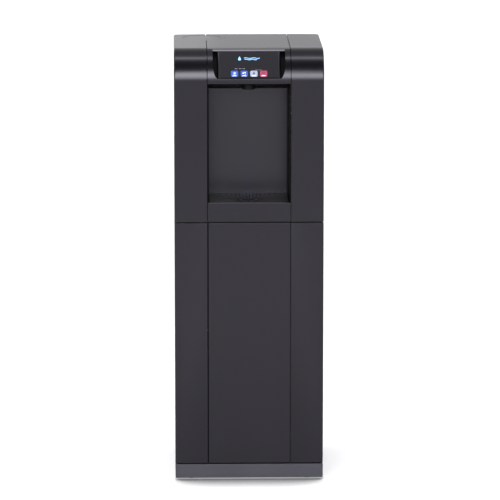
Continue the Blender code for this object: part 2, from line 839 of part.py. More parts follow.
def drip_tray():
    rim = 0.0020
    shelf = GRILLE_TOP - 0.0026
    bm = bmesh.new()
    add_box(bm, (-TRAY_HALF, TRAY_HALF), (TRAY_FRONT, TRAY_BACK), (TRAY_BOTTOM, GRILLE_TOP))
    tray = new_object("drip_tray", bm, "tray")
    seat = bmesh.new()
    add_box(
        seat,
        (rim - TRAY_HALF, TRAY_HALF - rim),
        (TRAY_FRONT + rim, TRAY_BACK - rim),
        (shelf - GAP, GRILLE_TOP + 0.01),
    )
    combine(tray, seat, "DIFFERENCE")
    ledge = rim + 0.0025
    basin = bmesh.new()
    add_box(
        basin,
        (ledge - TRAY_HALF, TRAY_HALF - ledge),
        (TRAY_FRONT + ledge, TRAY_BACK - ledge),
        (TRAY_BOTTOM + rim, GRILLE_TOP),
    )
    combine(tray, basin, "DIFFERENCE")


def drip_grille():
    """A plate with an oval drain under the nozzle and slots that fan out from it."""
    inset = 0.0020 + GAP
    bm = bmesh.new()
    add_box(
        bm,
        (inset - TRAY_HALF, TRAY_HALF - inset),
        (TRAY_FRONT + inset, TRAY_BACK - inset),
        (GRILLE_TOP - 0.0026, GRILLE_TOP),
    )
    grille = new_object("drip_grille", bm, "tray")
    slots = bmesh.new()
    oval = [(0.017 * cos(a), DRAIN_Y + 0.010 * sin(a)) for a in turn_steps(16)]
    add_prism(slots, oval, "Z", GRILLE_TOP - 0.01, GRILLE_TOP + 0.01)
    for index in range(FAN_SLOTS):
        add_fan_slot(slots, 2 * pi * (index + 0.5) / FAN_SLOTS)
    combine(grille, slots, "DIFFERENCE")


def turn_steps(count):
    return [2 * pi * i / count for i in range(count)]


def add_fan_slot(bm, angle):
    """Adds a slot cutter that points away from the drain and stops short of the plate's edge."""
    start, half, edge_room = 0.026, 0.0012, 0.008
    across = TRAY_HALF - edge_room
    along = TRAY_BACK - edge_room - DRAIN_Y if sin(angle) > 0 else DRAIN_Y - TRAY_FRONT - edge_room
    end = min(across / abs(cos(angle)), along / abs(sin(angle)))
    verts = add_box(bm, (start, end), (-half, half), (GRILLE_TOP - 0.01, GRILLE_TOP + 0.01))
    turn = Matrix.Translation((0, DRAIN_Y, 0)) @ Matrix.Rotation(angle, 4, "Z")
    bmesh.ops.transform(bm, matrix=turn, verts=verts)


# ---- Service door ----


def hinge_axis():
    return -MIDDLE + HINGE_INSET, FRONT + HINGE_INSET


def service_door():
    """A tray-shaped door. Its hinge edge is rounded about the pins."""
    hinge = hinge_axis()
    back = FRONT + DOOR_THICK
    free_edge = 0.002
    outline = [(-MIDDLE, back)]
    outline += arc(hinge, HINGE_INSET, 180, 270, 4)
    outline += arc((MIDDLE - free_edge, FRONT + free_edge), free_edge, -90, 0, 3)
    outline += [(MIDDLE, back)]
    at = Vector((*hinge, 0.0))
    bm = bmesh.new()
    add_prism(bm, outline, "Z", CABINET_BOTTOM, CABINET_TOP)
    bmesh.ops.translate(bm, verts=bm.verts, vec=-at)
    door = new_object("service_door", bm, "casing")
    door.location = at
    skin = DOOR_SKIN
    hollow = bmesh.new()
    add_box(
        hollow,
        (skin - MIDDLE, MIDDLE - skin),
        (FRONT + skin, back + 0.01),
        (CABINET_BOTTOM + skin, CABINET_TOP - skin),
    )
    combine(door, hollow, "DIFFERENCE")
    holes = bmesh.new()
    for z in (CABINET_BOTTOM, CABINET_TOP):
        add_cylinder(holes, (*hinge, z - 0.01), (*hinge, z + 0.01), PIN_RADIUS + 0.00035, 12)
    combine(door, holes, "DIFFERENCE")


def door_pins():
    """The lower pin stands on a bracket on the plinth, and the upper one hangs from the deck."""
    x, y = hinge_axis()
    plate_top = CABINET_BOTTOM - 2 * GAP
    bm = bmesh.new()
    add_box(bm, (x - 0.010, x + 0.015), (y - 0.0020, y + 0.030), (PLINTH_TOP + GAP, plate_top))
    lower = new_object("door_lower_pin", bm, "bright_steel")
    shaft = bmesh.new()
    add_cylinder(shaft, (x, y, PLINTH_TOP + 0.001), (x, y, 0.0545), PIN_RADIUS, 12)
    combine(lower, shaft, "UNION")
    bm = bmesh.new()
    add_cylinder(bm, (x, y, 0.6640), (x, y, CABINET_TOP), PIN_RADIUS, 12)
    new_object("door_upper_pin", bm, "bright_steel")


# ---- Cooling ----


def compressor():
    body = [(0.0, 0.195), (0.030, 0.191), (0.052, 0.178), (0.062, 0.155), (0.063, 0.130)]
    body += [(0.0655, 0.129), (0.0655, 0.124), (0.063, 0.123), (0.060, 0.095), (0.050, 0.077)]
    body += [(0.030, 0.069), (0.0, 0.067)]
    shell = turned("compressor", body, "black_steel", (0.0, COMPRESSOR_Y), steps=20)
    base = bmesh.new()
    y = COMPRESSOR_Y
    add_box(base, (-0.085, 0.085), (y - 0.045, y + 0.045), (0.0650, 0.0680))
    combine(shell, base, "UNION")
    terminals = bmesh.new()
    add_box(terminals, (0.050, 0.078), (y - 0.022, y + 0.022), (0.105, 0.150))
    combine(shell, terminals, "UNION")
    legs = bmesh.new()
    for x in (-0.072, 0.072):
        for leg_y in (y - 0.034, y + 0.034):
            add_cylinder(legs, (x, leg_y, PLINTH_TOP + GAP), (x, leg_y, 0.0660), 0.0080, 12)
    combine(shell, legs, "UNION")


def condenser_route():
    """Serpentine passes, from a pipe through the rear panel at the top to one at the bottom."""
    inside = REAR_PANEL_Y - 0.007
    route = [(-COIL_HALF, inside, COIL_TOP), (-COIL_HALF, COIL_Y, COIL_TOP)]
    route = bent(route + [(0.0, COIL_Y, COIL_TOP)], 0.006)[:-1]
    for turn in range(COIL_PASSES - 1):
        side = 1 if turn % 2 == 0 else -1
        middle = COIL_TOP - COIL_PITCH * (turn + 0.5)
        bend = arc((side * (COIL_HALF - 0.010), middle), COIL_PITCH / 2, 90, 90 - 180 * side, 4)
        route += [(x, COIL_Y, z) for x, z in bend]
    bottom = COIL_TOP - COIL_PITCH * (COIL_PASSES - 1)
    tail = [(0.0, COIL_Y, bottom), (COIL_HALF, COIL_Y, bottom), (COIL_HALF, inside, bottom)]
    return route + bent(tail, 0.006)[1:]


def condenser_coil():
    tube("condenser_coil", condenser_route(), 0.0025, "black_steel")


def condenser_wires():
    """Upright wires on both faces of the coil, and the four posts that hold it off the panel."""
    bottom = COIL_TOP - COIL_PITCH * (COIL_PASSES - 1)
    wire, reach = 0.0008, 0.0025 + GAP
    near, far = COIL_Y - reach - 2 * wire, COIL_Y + reach
    low, high = bottom - 0.014, COIL_TOP + 0.014
    bars = bmesh.new()
    for z in (low + 0.001, high - 0.004):
        add_box(bars, (-0.107, 0.107), (near + 0.0004, far + 0.0012), (z, z + 0.003))
    rack = new_object("condenser_wires", bars, "black_steel")
    wires = bmesh.new()
    for i in range(9):
        x = -0.104 + 0.026 * i
        for y in (near, far):
            add_box(wires, (x - wire, x + wire), (y, y + 2 * wire), (low, high))
    combine(rack, wires, "UNION")
    start = REAR_PANEL_Y + REAR_PANEL_THICK + GAP
    posts = bmesh.new()
    for x in (-0.104, 0.104):
        for z in (bottom + 0.024, COIL_TOP - 0.024):
            add_box(posts, (x - 0.004, x + 0.004), (start, near + 0.001), (z - 0.004, z + 0.004))
    combine(rack, posts, "UNION")


def filter_dryer():
    profile = [(0.0, 0.330), (0.003, 0.330), (0.003, 0.322), (0.009, 0.312), (0.009, 0.252)]
    profile += [(0.003, 0.242), (0.003, 0.234), (0.0, 0.234)]
    turned("filter_dryer", profile, "copper", (COIL_HALF, 0.128), steps=12)


def discharge_line():
    """From the compressor up to the condenser's inlet pipe."""
    y = COMPRESSOR_Y
    route = [
        (-0.030, y, 0.2000),
        (-0.030, y, 0.240),
        (-COIL_HALF, y + 0.02, 0.260),
        (-COIL_HALF, 0.120, 0.600),
        (-COIL_HALF, 0.120, COIL_TOP),
        (-COIL_HALF, REAR_PANEL_Y - 0.0075, COIL_TOP),
    ]
    tube("discharge_line", bent(route, 0.010), 0.0020, "copper")


def suction_line():
    """From the evaporator's upper end down to the compressor."""
    y = COMPRESSOR_Y
    route = [
        (0.030, y, 0.2000),
        (0.030, y, 0.300),
        (0.112, 0.100, 0.400),
        (0.112, 0.115, 0.640),
        (0.112, 0.115, 0.880),
        (COLD_X + 0.0595, COLD_Y, 0.935),
        (COLD_X + 0.0595, COLD_Y, 0.8965),
    ]
    tube("suction_line", bent(route, 0.010), 0.0030, "copper")


def cold_tank():
    profile = [(0.0, 0.886), (0.040, 0.885), (0.054, 0.876), (0.055, 0.868), (0.055, 0.722)]
    profile += [(0.054, 0.714), (0.040, 0.705), (0.0, 0.704)]
    turned("cold_tank", profile, "bright_steel", (COLD_X, COLD_Y), steps=24)


def evaporator_coil():
    """A copper helix around the cold tank, with its upper end turned up."""
    radius, steps, turns = 0.0595, 12, 4
    route = []
    for i in range(steps * turns + 1):
        angle = 2 * pi * i / steps
        climb = 0.750 + 0.022 * i / steps
        route.append((COLD_X + radius * cos(angle), COLD_Y + radius * sin(angle), climb))
    route.append((*route[-1][:2], 0.896))
    tube("evaporator_coil", route, 0.0025, "copper")


def cold_tank_insulation():
    profile = [(0.0740, 0.890), (0.0740, 0.6770), (0.0, 0.6770), (0.0, 0.7030)]
    profile += [(0.0635, 0.7030), (0.0635, 0.890)]
    turned("cold_tank_insulation", profile, "foam", (COLD_X, COLD_Y), steps=28, ring=True)


# ---- Water, gas and heating ----


def hot_tank():
    profile = [(0.0, 0.872), (0.012, 0.872), (0.012, 0.862), (0.030, 0.860), (0.040, 0.850)]
    profile += [(0.040, 0.706), (0.030, 0.696), (0.014, 0.694), (0.014, 0.6770), (0.0, 0.6770)]
    tank = turned("hot_tank", profile, "bright_steel", (HOT_X, HOT_Y), steps=20)
    thermostats = bmesh.new()
    for z in (0.760, 0.800):
        start = (HOT_X, HOT_Y - 0.038, z)
        add_cylinder(thermostats, start, (HOT_X, HOT_Y - 0.047, z), 0.008, 12)
    combine(tank, thermostats, "UNION")


def filter_head():
    half = 0.0385
    bm = bmesh.new()
    add_box(
        bm,
        (FILTER_X - half, FILTER_X + half),
        (FILTER_Y - half, FILTER_Y + half),
        (UPPER_BOTTOM + GAP, 0.7300),
    )
    round_edges(bm, upright_edges(bm), 0.008, 2)
    head = new_object("filter_head", bm, "white_plastic")
    socket = bmesh.new()
    centre = (FILTER_X, FILTER_Y)
    add_cylinder(socket, (*centre, 0.7060), (*centre, 0.74), 0.0290, 28)
    combine(head, socket, "DIFFERENCE")


def filter_cartridge():
    profile = [(0.0, 1.0600), (0.030, 1.0600), (0.036, 1.0500), (0.036, 0.7400)]
    profile += [(0.032, 0.7310), (0.0284, 0.7310), (0.0284, 0.7080), (0.0, 0.7080)]
    cartridge = turned("filter_cartridge", profile, "white_plastic", (FILTER_X, FILTER_Y))
    grip = bmesh.new()
    x, y = FILTER_X, FILTER_Y
    add_box(grip, (x - 0.028, x + 0.028), (y - 0.006, y + 0.006), (1.0500, 1.0850))
    combine(cartridge, grip, "UNION")


def co2_cylinder():
    profile = [(0.0, 0.404), (0.006, 0.404), (0.006, 0.392), (0.011, 0.391), (0.011, 0.366)]
    profile += [(0.014, 0.360), (0.024, 0.345), (0.030, 0.325), (0.030, 0.052), (0.026, 0.0430)]
    profile += [(0.0, 0.0430)]
    bottle = turned("co2_cylinder", profile, "grey_cylinder", (GAS_X, GAS_Y), steps=20)
    outlet = bmesh.new()
    z = 0.380
    add_cylinder(outlet, (GAS_X, GAS_Y, z), (GAS_X + 0.028, GAS_Y, z), 0.006, 12)
    combine(bottle, outlet, "UNION")


def co2_handwheel():
    low = 0.404 + GAP
    profile = [(0.0, low + 0.014), (0.015, low + 0.014), (0.018, low + 0.011), (0.018, low)]
    profile += [(0.0, low)]
    wheel = turned("co2_handwheel", profile, "black_plastic", (GAS_X, GAS_Y), steps=30)
    scallops = bmesh.new()
    for angle in turn_steps(6):
        x, y = GAS_X + 0.0215 * cos(angle), GAS_Y + 0.0215 * sin(angle)
        add_cylinder(scallops, (x, y, low - 0.01), (x, y, low + 0.03), 0.0055, 12)
    combine(wheel, scallops, "DIFFERENCE")


def valve_block():
    bm = bmesh.new()
    add_box(bm, (0.120, 0.174), (-0.130, -0.060), (0.470, 0.492))
    block = new_object("valve_block", bm, "white_plastic")
    coils = bmesh.new()
    for y in (-0.116, -0.095, -0.074):
        add_cylinder(coils, (0.147, y, 0.485), (0.147, y, 0.520), 0.0090, 14)
    combine(block, coils, "UNION")


def supply_tube():
    """From the inlet fitting up through the deck to the filter head."""
    route = [
        (WATER_X, 0.1320, WATER_Z),
        (WATER_X, 0.110, WATER_Z),
        (-0.169, 0.030, 0.140),
        (-0.169, 0.030, 0.700),
        (-0.169, 0.085, 0.715),
        (FILTER_X - 0.0389, 0.085, 0.715),
    ]
    tube("supply_tube", bent(route, 0.006), 0.0032, "tubing")


def inlet_fitting():
    """A push-fit bulkhead that clamps the rear panel."""
    outer = REAR_PANEL_Y + REAR_PANEL_THICK
    profile = [(0.0078, -0.016), (0.0078, -GAP), (0.0110, -GAP), (0.0110, 0.004)]
    profile += [(0.0090, 0.004), (0.0090, 0.013), (0.0036, 0.013), (0.0036, -0.016)]
    start = outer + 2 * GAP
    bm = bmesh.new()
    points = [bm.verts.new((WATER_X + radius, start + y, WATER_Z)) for radius, y in profile]
    edges = [bm.edges.new((points[i - 1], points[i])) for i in range(len(points))]
    bmesh.ops.spin(
        bm,
        geom=points + edges,
        cent=(WATER_X, outer, WATER_Z),
        axis=(0, 1, 0),
        angle=2 * pi,
        steps=16,
        use_duplicate=False,
        use_merge=True,
    )
    new_object("inlet_fitting", bm, "white_plastic")


# ---- Electrics ----


def switch_plate():
    y = (REAR_PANEL_Y + REAR_PANEL_THICK + GAP, REAR_PANEL_Y + REAR_PANEL_THICK + GAP + 0.0025)
    bm = bmesh.new()
    add_box(bm, (0.080, 0.160), y, (0.065, 0.185))
    plate = new_object("switch_plate", bm, "black_plastic")
    cuts = bmesh.new()
    deep = (y[0] - 0.01, y[1] + 0.01)
    add_box(cuts, (INLET_X - 0.0138, INLET_X + 0.0138), deep, (INLET_Z - 0.0103, INLET_Z + 0.0103))
    for x in SWITCH_XS.values():
        add_box(cuts, (x - 0.0068, x + 0.0068), deep, (SWITCH_Z - 0.0100, SWITCH_Z + 0.0100))
    combine(plate, cuts, "DIFFERENCE")


def power_inlet():
    """A recessed three-pin appliance inlet with a flange behind the plate."""
    face = REAR_PANEL_Y + REAR_PANEL_THICK + GAP + 0.0025
    bm = bmesh.new()
    x, z = INLET_X, INLET_Z
    add_box(bm, (x - 0.0135, x + 0.0135), (face - 0.026, face + 0.0005), (z - 0.0100, z + 0.0100))
    inlet = new_object("power_inlet", bm, "black_plastic")
    pocket = bmesh.new()
    add_box(pocket, (x - 0.0118, x + 0.0118), (face - 0.018, face + 0.01), (z - 0.0083, z + 0.0083))
    combine(inlet, pocket, "DIFFERENCE")
    pins = bmesh.new()
    for dx, dz in ((-0.007, -0.002), (0.007, -0.002), (0.0, 0.003)):
        centre = (x + dx, z + dz)
        add_box(
            pins,
            (centre[0] - 0.0010, centre[0] + 0.0010),
            (face - 0.020, face - 0.003),
            (centre[1] - 0.0020, centre[1] + 0.0020),
        )
    combine(inlet, pins, "UNION")


def rockers():
    """Each rocker is a cylinder slice with a shallow V face. At rest it is pressed to on."""
    radius, dip = 0.0095, 0.0042
    rest = radians(-8)
    pivot_y = REAR_PANEL_Y + REAR_PANEL_THICK + 0.0008
    top = arc((0, 0), radius, 50, 130, 4)
    outline = [(dip, 0.0)] + top + [(y, -z) for y, z in reversed(top)]
    outline = [tuple(Matrix.Rotation(rest, 2) @ Vector(point)) for point in outline]
    for name, x in SWITCH_XS.items():
        bm = bmesh.new()
        add_prism(bm, outline, "X", -0.0062, 0.0062)
        rocker = new_object(name, bm, "black_plastic")
        rocker.location = (x, pivot_y, SWITCH_Z)


def power_board_box():
    bm = bmesh.new()
    add_box(bm, (0.120, 0.176), (-0.130, -0.060), (0.120, 0.300))
    round_edges(bm, upright_edges(bm), 0.004, 2)
    new_object("power_board_box", bm, "white_plastic")


def build():
    base_plinth()
    base_pan()
    feet()
    inner_frame()
    lower_panel("lower_left_panel", -1)
    lower_panel("lower_right_panel", 1)
    mid_deck()
    upper_panel("upper_left_panel", -1)
    upper_panel("upper_right_panel", 1)
    top_cover()
    lower_fascia()
    front_bezel()
    cap_collar()
    filter_cap()
    rear_panel()
    control_recess()
    frame = pod_frame()
    control_pod(frame)
    control_board(frame)
    keys(frame)
    alcove_backsplash()
    alcove_shell()
    alcove_ceiling()
    alcove_light()
    nozzle_parts()
    tray_seat()
    drip_tray()
    drip_grille()
    service_door()
    door_pins()
    compressor()
    condenser_coil()
    condenser_wires()
    filter_dryer()
    discharge_line()
    suction_line()
    cold_tank()
    evaporator_coil()
    cold_tank_insulation()
    hot_tank()
    filter_head()
    filter_cartridge()
    co2_cylinder()
    co2_handwheel()
    valve_block()
    supply_tube()
    inlet_fitting()
    switch_plate()
    power_inlet()
    rockers()
    power_board_box()


build()
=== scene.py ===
"""The looks of a floor-standing water cooler: its studio, its finishes and its fine surfaces.

Metres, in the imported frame: +Z up, front towards -Y. Places come from the frame's own boxes.
"""

import json
from math import asin, cos, degrees, pi, radians, sin, tan

import bmesh
import bpy
from mathutils import Matrix, Vector


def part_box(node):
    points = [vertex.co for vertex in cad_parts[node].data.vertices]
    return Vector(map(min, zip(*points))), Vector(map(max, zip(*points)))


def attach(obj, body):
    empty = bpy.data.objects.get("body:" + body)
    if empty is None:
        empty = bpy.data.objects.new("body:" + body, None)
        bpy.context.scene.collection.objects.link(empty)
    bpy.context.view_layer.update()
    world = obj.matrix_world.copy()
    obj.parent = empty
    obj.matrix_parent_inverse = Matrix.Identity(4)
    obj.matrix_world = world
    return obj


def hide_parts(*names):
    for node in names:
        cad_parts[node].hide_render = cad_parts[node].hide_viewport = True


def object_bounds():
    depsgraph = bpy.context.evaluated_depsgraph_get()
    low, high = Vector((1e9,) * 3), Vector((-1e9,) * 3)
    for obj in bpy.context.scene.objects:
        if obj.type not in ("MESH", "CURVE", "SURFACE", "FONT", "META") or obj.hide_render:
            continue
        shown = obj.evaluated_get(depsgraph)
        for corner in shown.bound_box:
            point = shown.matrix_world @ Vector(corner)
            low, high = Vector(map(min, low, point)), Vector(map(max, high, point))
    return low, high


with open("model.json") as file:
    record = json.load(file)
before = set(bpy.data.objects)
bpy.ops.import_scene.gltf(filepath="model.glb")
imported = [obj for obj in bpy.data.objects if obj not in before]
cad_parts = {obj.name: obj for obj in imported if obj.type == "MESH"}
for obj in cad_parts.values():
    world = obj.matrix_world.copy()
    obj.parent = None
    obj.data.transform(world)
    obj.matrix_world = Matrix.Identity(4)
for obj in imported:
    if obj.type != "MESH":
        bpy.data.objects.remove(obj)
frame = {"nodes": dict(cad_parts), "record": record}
CAD_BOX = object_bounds()
RECORD = frame["record"]
BODY_OF = {node: body for body, nodes in RECORD["behaviour"]["bodies"].items() for node in nodes}
LOW, HIGH = 0, 1
SIDES = ((-1, "left"), (1, "right"))
ACROSS, BACKWARD, UP, FORWARD = (1, 0, 0), (0, 1, 0), (0, 0, 1), (0, -1, 0)


def edge(node, end, axis):
    """Where a node's box starts or ends along an axis."""
    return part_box(node)[end]["xyz".index(axis)]


def middle(node):
    low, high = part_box(node)
    return (low + high) / 2


# ---- Sizes read from the frame ----
SIDE = edge("upper_right_panel", HIGH, "x")
STRIP = edge("upper_right_panel", LOW, "x")
MIDDLE = edge("service_door", HIGH, "x")
FRONT = edge("lower_right_panel", LOW, "y")
BACK = edge("lower_right_panel", HIGH, "y")
TOP = edge("top_cover", HIGH, "z")
CABINET_BOTTOM = edge("service_door", LOW, "z")
CABINET_TOP = edge("service_door", HIGH, "z")
UPPER_BOTTOM = edge("upper_right_panel", LOW, "z")
FASCIA_TOP = edge("lower_fascia", HIGH, "z")
BEZEL_BOTTOM = edge("front_bezel", LOW, "z")
LIP_FRONT = edge("top_cover", LOW, "y")
LIP_UNDER = edge("top_cover", LOW, "z")
GRILLE_TOP = edge("drip_grille", HIGH, "z")
SPLASH_FACE = edge("alcove_backsplash", LOW, "y")
FILTER = middle("filter_cap")
CAP_RADIUS = (edge("filter_cap", HIGH, "x") - edge("filter_cap", LOW, "x")) / 2
REAR_FACE = edge("rear_panel", HIGH, "y")
DIMPLE = (FILTER.x + 0.060, FILTER.y - 0.003)

# ---- Sizes of the casing's curves and walls ----
WALL = 0.0025
SHOULDER = 0.0766
PANEL_EDGE = 0.004
REAR_CORNER = 0.010
FLANGE = 0.012
SOFT_EDGE = 0.0005
HAIR = 0.0002  # the smallest gap or overlap between two pieces
BEYOND = 0.01  # how far a cutter reaches past what it cuts
POD_LEAN = radians(42)
POD_HALF = 0.081
POD_LENGTH = 0.081
POD_THICK = 0.012
POD_ROUNDING = 0.007
POD_FOOT = (0.0, FRONT + 0.004, 1.0455)
POD = Matrix.Translation(POD_FOOT) @ Matrix.Rotation(pi / 2 - POD_LEAN, 4, "X")
KEY_SIZE = 0.0184
KEY_PITCH = 0.0245
KEY_UP = 0.0125
KEY_PROUD = 0.0004
KEYS = ("key_cold", "key_sparkling", "key_ambient", "key_hot")
KEY_XS = [(i - 1.5) * KEY_PITCH for i in range(len(KEYS))]
RECESS_HALF = 0.092
RECESS_BOTTOM = 1.0430
RECESS_CORNER = (0.014, 0.040)
GRILLE_SLOTS = 44
DRAIN = (0.017, 0.010)
COIL_PITCH = 0.048
COIL_PASSES = 9
COIL_HALF = 0.120

# ---- Studio: degrees up from the front horizon, over the top and down to the back, and radiance ----
STUDIO = (
    (0, 1.0), (3, 1.3), (6, 8.4), (20, 8.4), (26, 1.5), (36, 0.25), (48, 0.02), (62, 0.03), (74, 0.3),
    (82, 1.2), (84, 5.0), (91, 5.0), (93, 1.0), (108, 0.5), (128, 0.4), (160, 0.72), (180, 0.72),
)
SIDE_LEVEL = 0.4
LEFT_BIAS = 0.12
SEEN_WORLD = (0.93, 0.93, 0.94, 1.0)
FLOOR_GLOW = 0.06
FLOOR_TONE = 0.66
FLOOR_SEEN = 0.80
FLOOR_SEEN_GLOW = 0.42
# How far the floor's painted shadow reaches, and how dark it gets.
SHADOW_REACH = 0.150
SHADOW_DEPTH = 0.16
LAMP_BLUE = (0.10, 0.22, 1.0)
CAMERA_DISTANCE = 9.0
CAMERA_HEIGHT = 2.2905
CAMERA_TURN = radians(-1.32)
CAMERA_PITCH = radians(10.819)
LENS, SENSOR = 253.9728, 36.0  # millimetres
AIM_X = 0.0061


# ---- Materials ----


class Nodes:
    """A node tree, with short calls that make its nodes and join them."""

    def __init__(self, tree):
        self.tree = tree

    def node(self, kind, settings=(), **values):
        made = self.tree.nodes.new("ShaderNode" + kind)
        for name, value in dict(settings).items():
            setattr(made, name, value)
        for name, value in values.items():
            socket = made.inputs[int(name[1:]) if name[1:].isdigit() else name.replace("_", " ")]
            if isinstance(value, bpy.types.NodeSocket):
                self.tree.links.new(value, socket)
            else:
                socket.default_value = value
        return made

    def math(self, operation, first, second=0.5):
        return self.node("Math", {"operation": operation}, i0=first, i1=second).outputs[0]

    def shades(self, value, *stops):
        ramp = self.node("ValToRGB", Fac=value)
        elements = ramp.color_ramp.elements
        for index, (at, shade) in enumerate(stops):
            stop = elements[index] if index < 2 else elements.new(at)
            stop.position = at
            stop.color = (*shade, 1.0)
        return ramp.outputs["Color"]


MATERIALS = {}


class Finish(Nodes):
    """A named material, with short calls for the nodes that the finishes share."""

    def __init__(self, name, colour, roughness, metallic=0.0, **fixed):
        self.material = MATERIALS[name] = bpy.data.materials.new(name)
        self.material.use_nodes = True
        super().__init__(self.material.node_tree)
        self.shader = self.tree.nodes["Principled BSDF"]
        self.colour = colour
        self.material.diffuse_color = (*colour, 1.0)
        self.fix(Base_Color=(*colour, 1.0), Roughness=roughness, Metallic=metallic, **fixed)
        self.place = self.node("TexCoord").outputs["Object"]

    def fix(self, **fixed):
        for socket, value in fixed.items():
            self.shader.inputs[socket.replace("_", " ")].default_value = value

    def noise(self, scale, detail=2.0, stretch=None, roughness=0.5):
        place = self.place
        if stretch:
            place = self.node("Mapping", Vector=place, Scale=stretch).outputs["Vector"]
        made = self.node("TexNoise", Vector=place, Scale=scale, Detail=detail, Roughness=roughness)
        return made.outputs["Fac"]

    def cells(self, scale, output="Distance"):
        return self.node("TexVoronoi", Vector=self.place, Scale=scale).outputs[output]

    def spread(self, value, low, high, start=0.3, end=0.7):
        made = self.node("MapRange", Value=value, From_Min=start, From_Max=end, To_Min=low, To_Max=high)
        return made.outputs["Result"]

    def blend(self, share, first, second):
        """A number that runs from the first to the second as the share goes from 0 to 1."""
        return self.node("Mix", {"data_type": "FLOAT"}, i0=share, i2=first, i3=second).outputs[0]

    def tinted(self, value, dark, light):
        """Base colour that drifts between two multiples of the finish's colour."""
        low, high = (tuple(channel * share for channel in self.colour) for share in (dark, light))
        self.set("Base Color", self.shades(value, (0.3, low), (0.7, high)))

    def set(self, socket, value):
        self.tree.links.new(value, self.shader.inputs[socket])

    def bump(self, height, distance, under=None):
        made = self.node("Bump", Height=height, Distance=distance, Strength=1.0)
        if under:
            self.tree.links.new(under, made.inputs["Normal"])
        self.set("Normal", made.outputs["Normal"])
        return made.outputs["Normal"]


def moulded(name, colour, roughness, grain=0.000012, grain_scale=1100, drift=(0.90, 1.12), **fixed):
    """Injection-moulded plastic with a fine spark-eroded grain and a slow drift in its tone."""
    finish = Finish(name, colour, roughness, **fixed)
    slow = finish.noise(9.0, 3.0)
    fleck = finish.noise(grain_scale * 0.6, 1.0)
    finish.tinted(finish.math("ADD", slow, finish.spread(fleck, -0.05, 0.05)), *drift)
    wiped = finish.noise(3.5, 4.0, stretch=(1.0, 1.0, 0.25))
    patches = finish.spread(wiped, roughness * 0.93, roughness * 1.07)
    finish.set("Roughness", finish.math("ADD", patches, finish.spread(fleck, -0.02, 0.02)))
    waves = finish.bump(finish.noise(14.0, 1.0), 0.00004)
    finish.bump(finish.noise(grain_scale, 3.0, roughness=0.6), grain, waves)


def sheet_metal(name, colour, roughness, spangle=0.0):
    """Rolled or brushed steel: fine lines along the rolling direction and faint handling marks."""
    finish = Finish(name, colour, roughness, metallic=1.0)
    lines = finish.noise(40.0, 5.0, stretch=(1.0, 1.0, 60.0))
    marks = finish.noise(18.0, 4.0)
    if spangle:
        mixed = finish.math("MULTIPLY", finish.math("ADD", finish.cells(90.0, "Color"), marks), 0.5)
        finish.tinted(mixed, 1.0 - spangle, 1.0 + spangle * 0.4)
    else:
        finish.tinted(marks, 0.82, 1.08)
    finish.set("Roughness", finish.spread(lines, roughness * 0.75, roughness * 1.3))
    finish.bump(lines, 0.000015)


def painted_steel(name, colour, roughness):
    """Powder coat: an orange-peel surface with a fine fleck."""
    finish = Finish(name, colour, roughness, Coat_Weight=0.15, Coat_Roughness=0.35)
    finish.tinted(finish.noise(700.0, 2.0), 0.80, 1.25)
    finish.set("Roughness", finish.spread(finish.noise(45.0, 3.0), roughness * 0.9, roughness * 1.12))
    peel = finish.bump(finish.noise(420.0, 1.0), 0.000035)
    finish.bump(finish.noise(2400.0, 2.0), 0.000008, peel)


def copper(name):
    """Drawn copper tube, with patches of brown tarnish and faint draw lines."""
    finish = Finish(name, (0.74, 0.34, 0.19), 0.28, metallic=1.0)
    tarnish = finish.noise(38.0, 5.0, roughness=0.65)
    brown, bright = (0.36, (0.36, 0.17, 0.10)), (0.58, (0.78, 0.38, 0.22))
    finish.set("Base Color", finish.shades(tarnish, brown, bright))
    finish.set("Roughness", finish.spread(tarnish, 0.46, 0.20))
    finish.bump(finish.noise(900.0, 2.0), 0.000010)


def foam(name):
    """Poured insulation foam: small closed cells and a yellowed skin."""
    finish = Finish(name, (0.74, 0.67, 0.46), 0.92, Subsurface_Weight=0.08)
    finish.tinted(finish.noise(26.0, 5.0), 0.78, 1.10)
    cells = finish.bump(finish.cells(420.0), 0.00035)
    finish.bump(finish.noise(60.0, 4.0), 0.0008, cells)


def circuit_board(name):
    """Green solder mask over copper tracks that run along the board."""
    finish = Finish(name, (0.012, 0.13, 0.055), 0.32, Coat_Weight=0.5, Coat_Roughness=0.12)
    tracks = finish.node(
        "TexBrick", Vector=finish.place, Scale=160.0, Mortar_Size=0.10, Color1=(0.010, 0.115, 0.048, 1.0),
        Color2=(0.014, 0.140, 0.060, 1.0), Mortar=(0.040, 0.240, 0.090, 1.0),
    )
    finish.set("Base Color", tracks.outputs["Color"])
    finish.bump(tracks.outputs["Fac"], 0.00003)


def film(name, colour, roughness, tint, gloss, height, **fixed):
    """A surface whose tone, gloss and height each drift: (scale, detail, two ends) or a depth."""
    finish = Finish(name, colour, roughness, **fixed)
    finish.tinted(finish.noise(*tint[:2]), *tint[2:])
    finish.set("Roughness", finish.spread(finish.noise(*gloss[:2]), *gloss[2:]))
    if height:
        finish.bump(finish.noise(*height[:2]), height[2])
    return finish


def lamp_lens(name):
    """A clouded lens over a blue-white lamp."""
    finish = film(name, (0.16, 0.34, 0.95), 0.22, (240.0, 3.0, 0.8, 1.2), (500.0, 2.0, 0.18, 0.30), None)
    finish.fix(Emission_Color=(0.10, 0.25, 1.0, 1.0), Emission_Strength=1.6)
    finish.bump(finish.node("TexWave", Vector=finish.place, Scale=420.0).outputs["Fac"], 0.00005)


def printed(name, colour, glow=0.0):
    """Silk-screened ink or a lit symbol: a slightly uneven film."""
    film(
        name, colour, 0.38, (900.0, 3.0, 0.86, 1.08), (1600.0, 2.0, 0.30, 0.46), (2600.0, 1.0, 0.000006),
        Emission_Color=(*colour, 1.0), Emission_Strength=glow,
    )


